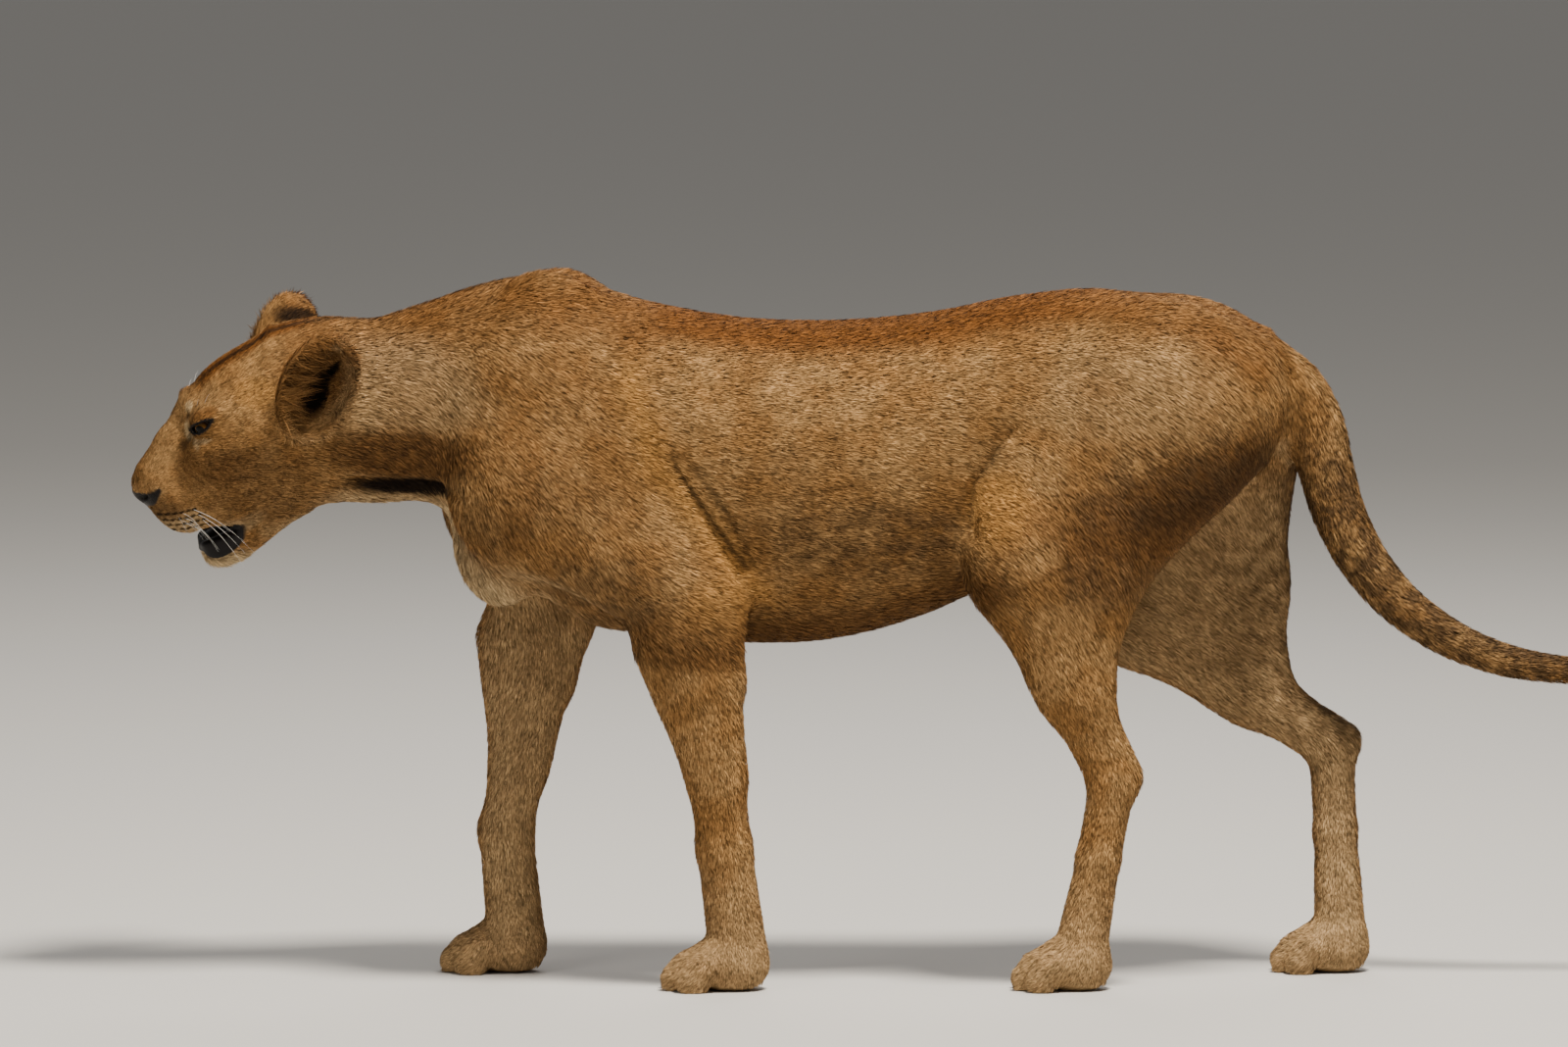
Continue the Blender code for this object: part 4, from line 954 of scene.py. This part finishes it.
def bareAt(points, normals, marks):  # no hair on nose, lips, lids and soles, nor inside mouth and lids
    local = toHead(points)
    local[:, 1] = np.abs(local[:, 1])
    bare = smooth(0.40, 0.70, np.maximum.reduce([marks[name] for name in ("nose", "lip", "flesh")]))
    toEye = np.linalg.norm(local - np.array(head["eye"]), axis=1)
    sole = (points[:, 2] < 0.012) & (normals[:, 2] < -0.5)
    return np.maximum(bare, sole | (toEye < head["eyeRadius"] + 0.0025))


# The sunk skin keeps inside the solids' box, with room for the tufts
inset = {"sides": 0.984, "top": 0.0018, "nose": 0.0022, "floor": 0.0012}


def shrinkSkin(skin):               # draws the creases, then sinks the skin under the coat's depth
    points, normals, _ = readMesh(skin.data)
    for side, stroke, width, height in reliefs:
        amount = height * np.exp(-((strokeDistance(points, stroke) / width) ** 2))
        amount *= smooth(0.03, 0.06, points[:, 1] * side) * smooth(0.1, 0.5, normals[:, 1] * side)
        points += normals * amount[:, None]
    marks = marksAt(points, normals)
    depth = coatAt(points)[0] * coat["depthShare"] * (1 - np.clip(bareAt(points, normals, marks), 0, 1))
    depth[marks["nose"] > 0.3] = 0
    points -= normals * depth[:, None]
    points[:, 1] *= mix(1.0, inset["sides"], smooth(-0.76, -0.55, points[:, 0]))
    points[:, 2] -= inset["top"] * smooth(0.88, 0.95, points[:, 2])
    points[:, 0] = np.maximum(points[:, 0], cadBox[0][0] + inset["nose"])
    points[:, 2] = np.maximum(points[:, 2], inset["floor"])
    skin.data.vertices.foreach_set("co", points.astype(np.float32).ravel())
    skin.data.update()


def storeMarks(obj, marks):
    for name, values in marks.items():
        layer = obj.data.attributes.new(name, "FLOAT", "POINT")
        layer.data.foreach_set("value", values.astype(np.float32))


def unwrap(skin):                   # gives back the places of each triangle's corners on the unwrap
    pick(skin)
    bpy.ops.object.mode_set(mode="EDIT")
    bpy.ops.mesh.select_all(action="SELECT")
    bpy.ops.uv.smart_project(angle_limit=math.radians(66), island_margin=0.001)
    bpy.ops.object.mode_set(mode="OBJECT")
    layer = skin.data.uv_layers[0]
    layer.name = "OFBake"
    flat = np.empty(len(skin.data.loops) * 2, np.float32)
    layer.uv.foreach_get("vector", flat)
    return flat.reshape(-1, 3, 2).astype(float)


shrinkSkin(skin)
skinPoints, skinNormals, skinFaces = readMesh(skin.data)
skinMarks = marksAt(skinPoints, skinNormals)
storeMarks(skin, skinMarks)
skinUv = unwrap(skin)
print("skin sunk under the coat, marked and unwrapped")


def waves(points, size, rng):       # smooth noise between about -1 and 1, with swells this far apart
    total = np.zeros(len(points))
    for _ in range(10):
        way = rng.normal(size=3)
        way *= 2 * math.pi / size / np.linalg.norm(way)
        total += np.sin(points @ way + rng.uniform(0, 2 * math.pi))
    return total / 4


def plantRoots(rng):                # each root's triangle and its weights there, as dense as the coat asks
    corners = skinPoints[skinFaces]
    cross = np.cross(corners[:, 1] - corners[:, 0], corners[:, 2] - corners[:, 0])
    area = np.linalg.norm(cross, axis=1) / 2
    middle = corners.mean(1)
    length, width, cover, _ = coatAt(middle)
    faceMarks = {name: skinMarks[name][skinFaces].mean(1) for name in markNames}
    bare = bareAt(middle, cross / (2 * area[:, None] + 1e-12), faceMarks)
    wanted = area * cover * 2 / (length * width) * (1 - bare)
    counts = np.floor(wanted + rng.random(len(wanted))).astype(int)
    face = np.repeat(np.arange(len(counts)), counts)
    a, b = rng.random(len(face)), rng.random(len(face))
    over = a + b > 1
    a[over], b[over] = 1 - a[over], 1 - b[over]
    return face, np.stack([1 - a - b, a, b], axis=1)


def pieceOf(points):                # which coat piece a root belongs to; a later rule wins
    x, y, z = points.T
    name = np.full(len(points), "coatTrunk", "U20")
    name[x > -0.15] = "coatRump"
    name[(x < -0.16) & (z < 0.60)] = "coatFore"
    name[(x > 0.02) & (z < 0.72)] = "coatHind"
    isHead = x < -0.84
    name[isHead] = "coatHead"
    sided = np.char.add(name, np.where(y < np.where(isHead, -0.016, 0), "Left", "Right"))
    sided[(tailDistance(points) < 0.052) & ~isHead] = "coatTail"
    sided[(x < -0.62) & (z > 0.56) & ~isHead] = "coatNeck"
    return sided


def tousle(lie, normals, roots, rng):   # turns tufts a little, most of all together with their neighbours
    swirl = 0.06 * waves(roots, 0.030, rng) + 0.09 * waves(roots, 0.008, rng)
    swirl += rng.normal(0, 0.13, len(roots))
    lie = lie * np.cos(swirl)[:, None] + np.cross(normals, lie) * np.sin(swirl)[:, None]
    return unit(lie - (lie * normals).sum(1)[:, None] * normals)


def fringeEars(local, lie, length, rng):    # looser hair round the rims, longer on her left ear
    for ear in (left, right):
        across, along, out = inEar(local, ear).T
        rim = smooth(0.012, 0.004, np.abs(out - 0.004)) * (np.hypot(across, along) < 0.10)
        rim *= smooth(-0.014, -0.006, earShell(across, along, out))
        front = smooth(0.005, -0.025, -ear * across) * (ear == left)
        length *= 1 + mix(0.30, 0.90, front) * rim * (ear == left)
        outward = unit((np.stack([across, along + 0.01, 0 * out], 1) @ earFrame(ear)[1]) @ axes)
        spill = mix(0.30, -0.50, front)[:, None]
        lie = lie + rim[:, None] * (spill * outward + rng.normal(0, 0.42, outward.shape))
    return unit(lie)


def fillCups(local, inner, lie, length, width, rng):    # long hair crosses the cup from its front edge
    for ear in (left, right):
        ways = earFrame(ear)[1]
        hers = inner & (np.sign(local[:, 1]) == -ear)
        across, along, _ = inEar(local[hers], ear).T
        sweep = (-0.8 * ear * ways[0] + 0.6 * ways[1]) @ axes
        hang = (-0.2 * ear * ways[0] - 1.0 * ways[1]) @ axes
        sweep = mix(sweep, hang, smooth(-0.020, -0.045, along)[:, None])
        lie[hers] = mix(lie[hers], sweep, 0.60) + rng.normal(0, 0.32, (hers.sum(), 3))
        wisps = np.maximum(0, rng.random(hers.sum()) * 3 - 2)
        length[hers] *= 1.0 + 2.0 * smooth(0.004, -0.020, -across * ear) * wisps
        width[hers] *= 0.70


def tuftPoints(roots, normals, lie, length, width, lift, rng):  # root, two shoulders and tip of each tuft
    roll = rng.normal(0, 0.35, len(roots))
    side = np.cross(normals, lie) * np.cos(roll)[:, None] + normals * np.sin(roll)[:, None]
    up, ahead = np.sin(lift) * length, np.cos(lift) * length
    tips = roots + lie * ahead[:, None] + normals * up[:, None]
    middles = roots + lie * (0.42 * ahead)[:, None] + normals * (0.62 * up)[:, None]
    half = side * (width / 2)[:, None]
    points = np.stack([roots - normals * 0.0003, middles - half, middles + half, tips], axis=1)
    points[:, :, 2] = np.maximum(points[:, :, 2], 0.0004)
    return points


def growCoat():
    rng = np.random.default_rng(coat["seed"])
    face, weights = plantRoots(rng)
    corner, share = skinFaces[face], weights[:, :, None]
    roots, lie, rootUv = ((values * share).sum(1) for values in (
        skinPoints[corner], lieAt(skinPoints, skinNormals)[corner], skinUv[face]))
    normals = unit((skinNormals[corner] * share).sum(1))
    count, local = len(roots), toHead(roots)
    length, width, _, tipShare = coatAt(roots)
    marks = marksAt(roots, normals)
    inner = marks["cup"] > 0.5
    lie = tousle(lie, normals, roots, rng)
    lie = fringeEars(local, lie, length, rng)
    fillCups(local, inner, lie, length, width, rng)
    length *= 1 + 0.10 * waves(roots, 0.012, rng) + rng.normal(0, 0.14, count)
    length = np.clip(length, 0.003, 0.040)
    lift = np.radians(coat["lift"] * (1 + 0.15 * waves(roots, 0.016, rng) + rng.normal(0, 0.15, count)))
    lift = np.clip(lift, 0.05, math.asin(coat["depthShare"] * 0.98))
    lift[inner] = rng.uniform(0.15, 0.80, inner.sum())
    points = tuftPoints(roots, normals, lie, length, width, lift, rng)
    tone = 0.5 + 0.13 * waves(roots, 0.010, rng) + 0.08 * waves(roots, 0.028, rng)
    tone += rng.normal(0, 0.26, count)
    locks = 0.50 + 0.55 * waves(roots, 0.009, rng) + rng.normal(0, 0.35, count)
    tone = np.clip(np.where(inner, locks, tone), 0, 1.5)
    tipShare = tipShare * (1 + 0.8 * waves(roots, 0.020, rng))
    tip = (rng.random(count) < tipShare) * rng.uniform(0.5, 1.0, count)
    marks["tip"] = tip * (1 - 0.6 * marks["pale"])
    names = pieceOf(roots)
    made = []
    for name in sorted(set(names)):
        chosen = np.flatnonzero(names == name)
        made.append(tuftPiece(name, points[chosen], normals[chosen], rootUv[chosen],
                              {key: value[chosen] for key, value in marks.items()}, tone[chosen]))
        print(name, len(chosen), "tufts")
    return made


def tuftPiece(name, points, normals, rootUv, marks, tone):
    count = len(points)
    corners = [0, 1, 2, 1, 3, 2]
    obj = meshFrom(name, points.reshape(-1, 3), (np.arange(count)[:, None] * 4 + corners).reshape(-1, 3))
    obj.data.shade_smooth()
    own = unit(np.cross(points[:, 3] - points[:, 0], points[:, 2] - points[:, 1]))
    shown = unit(mix(own, normals, coat["softness"]))
    layer = obj.data.attributes.new("custom_normal", "FLOAT_VECTOR", "POINT")
    layer.data.foreach_set("vector", np.repeat(shown, 4, axis=0).astype(np.float32).ravel())
    storeMarks(obj, {key: np.repeat(value, 4) for key, value in {**marks, "tone": tone}.items()})
    storeMarks(obj, {"along": np.tile([0.0, 0.45, 0.45, 1.0], count)})
    spread = np.array([[0, -1], [-1, 0], [1, 0], [0, 1]]) * coat["uvPatch"]
    layer = obj.data.uv_layers.new(name="OFBake")
    layer.uv.foreach_set("vector", (rootUv[:, None] + spread)[:, corners].astype(np.float32).ravel())
    return obj


coatPieces = growCoat()
print("coat grown,", sum(len(piece.data.polygons) for piece in coatPieces), "triangles")

eyes = {"bulge": 0.0034, "corneaRadius": 0.0128, "iris": 0.62, "pupil": 0.30, "sides": 64}


def ball(radius, rings, place, turn):
    bpy.ops.mesh.primitive_uv_sphere_add(segments=eyes["sides"], ring_count=rings, radius=radius,
                                         location=place, rotation=turn)
    return bpy.context.object


def makeEye(side):                  # a ball with a bulging cornea, which knows how far it is from the gaze
    flip = np.array([1, -side, 1])
    centre = fromHead(flip * head["eye"])
    gaze = Vector((flip * eyeFrame()[2]) @ axes)
    turn = gaze.to_track_quat("Z", "Y").to_euler()
    ahead = head["eyeRadius"] + eyes["bulge"] - eyes["corneaRadius"]
    eye = ball(head["eyeRadius"], 48, centre, turn)
    eye.name = "eyeLeft" if side == left else "eyeRight"
    cornea = ball(eyes["corneaRadius"], 32, Vector(centre) + gaze * ahead, turn)
    join = eye.modifiers.new("cornea", "BOOLEAN")
    join.operation, join.object, join.solver = "UNION", cornea, "EXACT"
    pick(eye)
    bpy.ops.object.modifier_apply(modifier="cornea")
    pick(cornea)
    bpy.ops.object.delete()
    pick(eye)
    bpy.ops.object.transform_apply(location=True, rotation=True, scale=True)
    bpy.ops.object.shade_smooth()
    away = unit(readPoints(eye.data) - centre)
    storeMarks(eye, {"angle": np.arccos(np.clip(away @ np.array(gaze), -1, 1)),
                     "turn": np.arctan2(away @ eyeFrame()[0], away @ eyeFrame()[1])})
    return eye


def strands(name, lines):           # tapering hairs, each told by its root, tip, sag and thickness
    curve = bpy.data.curves.new(name, "CURVE")
    curve.dimensions = "3D"
    curve.bevel_depth, curve.bevel_resolution, curve.resolution_u = 1.0, 1, 3
    curve.use_fill_caps = True
    for root, tip, sag, thick in lines:
        spline = curve.splines.new("NURBS")
        spline.points.add(5)
        for n, point in enumerate(spline.points):
            t = n / 5
            place = np.array(root) + (np.array(tip) - root) * t + np.array([0, 0, 4 * sag * t * (1 - t)])
            point.co = (*place, 1)
            point.radius = thick * (1 - 0.85 * t)
        spline.use_endpoint_u, spline.order_u = True, 4
    obj = bpy.data.objects.new(name, curve)
    bpy.context.scene.collection.objects.link(obj)
    pick(obj)
    bpy.ops.object.convert(target="MESH")
    obj.data.shade_smooth()
    return obj


whiskers = {"thick": 0.00028, "long": (0.070, 0.125), "sag": 0.006, "browLong": (0.014, 0.024),
            "browRoots": [(-0.004, 0.021), (-0.014, 0.022)], "seed": 3}


def surfaceAt(f, u, side):          # the skin's outermost point at this place on the side of the head
    local = toHead(skinPoints)
    local[:, 1] *= -side
    spread = np.hypot(local[:, 0] - f, local[:, 2] - u) + (local[:, 1] < 0.004)
    return skinPoints[np.argmin(spread)]


def makeWhiskers():
    rng = np.random.default_rng(whiskers["seed"])
    perRow, thick = spots["perRow"], whiskers["thick"]
    lines = []
    for side in (left, right):
        for n, (f, u) in enumerate(spotPlaces()):
            row, place = divmod(n, perRow)
            if place < 2 or (n + side) % 3 == 0:
                continue
            root = surfaceAt(f, u, side)
            way = [-0.42 + rng.normal(0, 0.16), 0.50 * -side + rng.normal(0, 0.12),
                   -0.66 - 0.07 * row + rng.normal(0, 0.12)]
            back = place / (perRow - 1)
            long = rng.uniform(*whiskers["long"]) * (0.25 + 0.75 * back**2)
            tip = root + unit(way) @ axes * long
            lines.append((root, tip, whiskers["sag"], thick * (0.6 + 0.4 * back)))
        for f, u in whiskers["browRoots"]:
            root = surfaceAt(f, u, side)
            way = [-0.45 + rng.normal(0, 0.1), 0.50 * -side, 0.60 + rng.normal(0, 0.1)]
            long = rng.uniform(*whiskers["browLong"])
            lines.append((root, root + unit(way) @ axes * long, whiskers["sag"] / 2, thick * 0.8))
    return strands("whiskers", lines)


tuft = {"locks": 3800, "long": (0.040, 0.095), "width": 0.0020, "flare": 0.16, "untidy": 0.10,
        "past": 0.003, "reach": 0.80, "seed": 11}


def makeTailTuft():                 # long dark hairs that wrap the end of the tail and run past it
    rng = np.random.default_rng(tuft["seed"])
    stops = np.array([(x, 0, z, radius) for x, z, radius in tail["tuftLine"]])
    line, radii, count = stops[:, :3], stops[:, 3], tuft["locks"]
    at = rng.uniform(0.0, tuft["reach"], count)
    place = at * (len(line) - 1)
    index = np.minimum(place.astype(int), len(line) - 2)
    t = place - index
    centre = mix(line[index], line[index + 1], t[:, None])
    way = unit(line[index + 1] - line[index])
    turn = rng.uniform(0, 2 * math.pi, count)
    across = np.array([0, 1.0, 0])
    upward = np.cross(way, across)
    out = across * np.cos(turn)[:, None] + upward * np.sin(turn)[:, None]
    radius = mix(radii[index], radii[index + 1], t) * rng.uniform(0.30, 0.80, count)
    roots = centre + out * radius[:, None]
    long = rng.uniform(*tuft["long"], count) * (1 + 0.25 * waves(roots, 0.014, rng))
    lean = waves(roots, 0.020, rng)[:, None] * across + waves(roots, 0.020, rng)[:, None] * upward
    lean += rng.normal(0, 0.8, way.shape)
    aim = way + tuft["flare"] * out * (1 - at)[:, None] + tuft["untidy"] * lean
    tips = roots + unit(aim) * long[:, None]
    limit = line[-1][0] + tuft["past"] - rng.exponential(0.010, count)
    past = np.maximum(0, tips[:, 0] - limit)
    tips -= way * (past / np.maximum(way[:, 0], 0.3))[:, None]
    side = np.cross(out, way) * (tuft["width"] / 2)
    middles = roots * 0.55 + tips * 0.45 + out * 0.0020
    points = np.stack([roots, middles - side, middles + side, tips], axis=1)
    marks = {name: np.full(count, float(name == "dark")) for name in (*markNames, "tip")}
    uv = np.stack([0.02 + 0.96 * at, 0.02 + 0.96 * turn / (2 * math.pi)], axis=1)
    return tuftPiece("tailTuft", points, out, uv, marks, rng.uniform(0.2, 0.9, count))


eyePair = [makeEye(side) for side in (left, right)]
whiskerPiece = makeWhiskers()
tailTuft = makeTailTuft()
print("eyes, whiskers and tail tuft made")


class Wire:                         # the output of a shader node, so that sums read as plain maths
    def __init__(self, surface, socket):
        self.surface, self.socket = surface, socket

    def __add__(self, other):
        return self.surface.math("ADD", self, other)

    def __radd__(self, other):
        return self.surface.math("ADD", other, self)

    def __sub__(self, other):
        return self.surface.math("SUBTRACT", self, other)

    def __rsub__(self, other):
        return self.surface.math("SUBTRACT", other, self)

    def __mul__(self, other):
        return self.surface.math("MULTIPLY", self, other)

    def __rmul__(self, other):
        return self.surface.math("MULTIPLY", other, self)


class Surface:                      # a material with a principled shader that its own methods wire up
    def __init__(self, name, roughness, specular):
        self.material = bpy.data.materials.new(name)
        self.material.use_nodes = True
        self.tree = self.material.node_tree
        self.shader = self.tree.nodes["Principled BSDF"]
        self.shader.inputs["Roughness"].default_value = roughness
        self.shader.inputs["Specular IOR Level"].default_value = specular

    def plug(self, value, socket):
        if isinstance(value, Wire):
            self.tree.links.new(value.socket, socket)
        elif hasattr(socket.default_value, "__len__") and len(socket.default_value) == 4:
            socket.default_value = (*value[:3], 1)
        else:
            socket.default_value = value

    def node(self, kind, settings, sockets, output=0):
        made = self.tree.nodes.new(kind)
        for key, value in settings.items():
            setattr(made, key, value)
        for key, value in sockets.items():
            self.plug(value, made.inputs[key])
        return Wire(self, made.outputs[output])

    def math(self, operation, a, b=0.0):
        return self.node("ShaderNodeMath", {"operation": operation}, {0: a, 1: b})

    def mark(self, name):
        return self.node("ShaderNodeAttribute", {"attribute_name": name}, {}, "Fac")

    def place(self):
        return self.node("ShaderNodeTexCoord", {}, {}, "Object")

    def noise(self, scale, detail=3.0, roughness=0.5):
        sockets = {"Vector": self.place(), "Scale": scale, "Detail": detail, "Roughness": roughness}
        return self.node("ShaderNodeTexNoise", {}, sockets, "Fac")

    def fade(self, value, low, high):
        return self.node("ShaderNodeMapRange", {"interpolation_type": "SMOOTHSTEP"},
                         {"Value": value, "From Min": low, "From Max": high})

    def blend(self, share, a, b):
        return self.node("ShaderNodeMix", {"data_type": "RGBA"}, {0: share, 6: a, 7: b}, 2)

    def scaled(self, colour, times):
        return self.node("ShaderNodeVectorMath", {"operation": "SCALE"}, {0: colour, "Scale": times})

    def bump(self, height, distance):
        return self.node("ShaderNodeBump", {}, {"Height": height, "Distance": distance})

    def finish(self, **sockets):
        for key, value in sockets.items():
            self.plug(value, self.shader.inputs[key.replace("_", " ")])
        return self.material


colours = {
    "tawny": (0.288, 0.147, 0.049), "sand": (0.370, 0.212, 0.083), "shade": (0.170, 0.080, 0.026),
    "pale": (0.500, 0.370, 0.205), "rufous": (0.158, 0.060, 0.013), "dark": (0.012, 0.007, 0.004),
    # the first colour here is a painted highlight, the second a coat mottle partly used as painted shade,
    # the third a painted shade
    "gold": (0.400, 0.200, 0.055), "ash": (0.120, 0.068, 0.030), "brown": (0.130, 0.060, 0.019),
    # hollow is near-black, the painted shade deep in the ear
    "cup": (0.225, 0.112, 0.038), "hollow": (0.003, 0.002, 0.001), "whisker": (0.82, 0.80, 0.76),
    "nose": (0.008, 0.006, 0.005), "noseSpeckle": (0.05, 0.035, 0.03), "lip": (0.004, 0.003, 0.003),
    # flesh is the mouth's inside and iris the amber eye, both darkened as painted shade
    "flesh": (0.012, 0.006, 0.005), "iris": (0.080, 0.034, 0.006), "irisEdge": (0.018, 0.007, 0.002),
    "eyeWhite": (0.030, 0.018, 0.012), "pupil": (0.003, 0.003, 0.003),
}


def coatColour(surface):            # the colour of the coat under its marks; skin and tufts share it
    wide, close = surface.noise(16, 2), surface.noise(120, 3)
    colour = surface.blend(surface.fade(wide, 0.35, 0.65), colours["tawny"], colours["sand"])
    colour = surface.blend(surface.fade(close, 0.50, 0.72) * 0.55, colour, colours["shade"])
    mottle = surface.fade(surface.noise(48, 5, 0.65), 0.30, 0.66) * 0.80
    # marks laid over the coat, painted highlights and painted shade among them
    for name in ("rufous", "gold", "pale", "brown", "ash", "cup", "dark", "hollow"):
        share = surface.mark(name)
        colour = surface.blend(share * mottle if name == "ash" else share, colour, colours[name])
    return colour


def hairMaterial(name):
    surface = Surface(name, 0.70, 0.08)
    tone, along = surface.mark("tone"), surface.mark("along")
    colour = surface.scaled(coatColour(surface), 0.36 + tone * 1.28)
    tip = surface.fade(along, 0.45, 0.85) * surface.mark("tip") * 0.85
    colour = surface.blend(tip, colour, colours["dark"])
    root = surface.fade(along, 0.35, 0.0) * 0.35
    return surface.finish(Base_Color=surface.blend(root, colour, colours["shade"]),
                          Roughness=0.62 + surface.noise(60) * 0.22)


def skinMaterial():
    surface = Surface("coatSkin", 0.75, 0.12)
    nose, lip, flesh = (surface.mark(name) for name in ("nose", "lip", "flesh"))
    wet = surface.math("MAXIMUM", lip, flesh)
    pebble = surface.node("ShaderNodeTexVoronoi", {"feature": "SMOOTH_F1"},
                          {"Vector": surface.place(), "Scale": 520, "Smoothness": 0.4}, "Distance")
    speckle = surface.fade(surface.noise(210), 0.55, 0.7) * 0.4
    # the skin is darkened as painted shade between the hairs
    colour = surface.scaled(coatColour(surface), 0.80)
    # the mouth's inside is painted near-black shade
    colour = surface.blend(flesh, colour, colours["flesh"])
    colour = surface.blend(lip, colour, colours["lip"])
    colour = surface.blend(nose, colour, surface.blend(speckle, colours["nose"], colours["noseSpeckle"]))
    height = surface.noise(700, 2) * (1 - nose) * 0.4 - pebble * nose
    return surface.finish(Base_Color=colour, Roughness=0.80 - nose * 0.32 - wet * 0.35,
                          Normal=surface.bump(height, 0.0006), Coat_Weight=wet * 0.03 + nose * 0.06)


def eyeMaterial():
    surface = Surface("eyeGlass", 0.06, 0.09)
    angle, turn = surface.mark("angle"), surface.mark("turn")
    iris, pupil = eyes["iris"], eyes["pupil"]
    streak = surface.math("SINE", turn * 37 + surface.noise(900) * 6) * 0.5 + 0.5
    colour = surface.blend(streak * 0.35, colours["iris"], colours["irisEdge"])
    for low, high, name in ((iris * 0.72, iris, "irisEdge"), (iris, iris + 0.05, "eyeWhite"),
                            (pupil + 0.03, pupil, "pupil")):
        colour = surface.blend(surface.fade(angle, low, high), colour, colours[name])
    return surface.finish(Base_Color=colour, Roughness=0.04 + surface.noise(300) * 0.05)


def whiskerMaterial():
    surface = Surface("whiskerWhite", 0.35, 0.5)
    return surface.finish(Base_Color=surface.scaled(colours["whisker"], 0.9 + surface.noise(200) * 0.1),
                          Roughness=0.30 + surface.noise(400) * 0.15)


def wear(obj, material):
    obj.data.materials.clear()
    obj.data.materials.append(material)


hair, eyeGlass = hairMaterial("coatHair"), eyeMaterial()
wear(skin, skinMaterial())
for piece in coatPieces + [tailTuft]:
    wear(piece, hair)
for piece in eyePair:
    wear(piece, eyeGlass)
wear(whiskerPiece, whiskerMaterial())

flesh = [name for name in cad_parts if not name.startswith("eye")]
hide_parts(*flesh)
for piece, name in zip(eyePair, ("eye_left", "eye_right")):
    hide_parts(name)
for piece in coatPieces + [skin, tailTuft, whiskerPiece] + eyePair:
    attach(piece, "root")
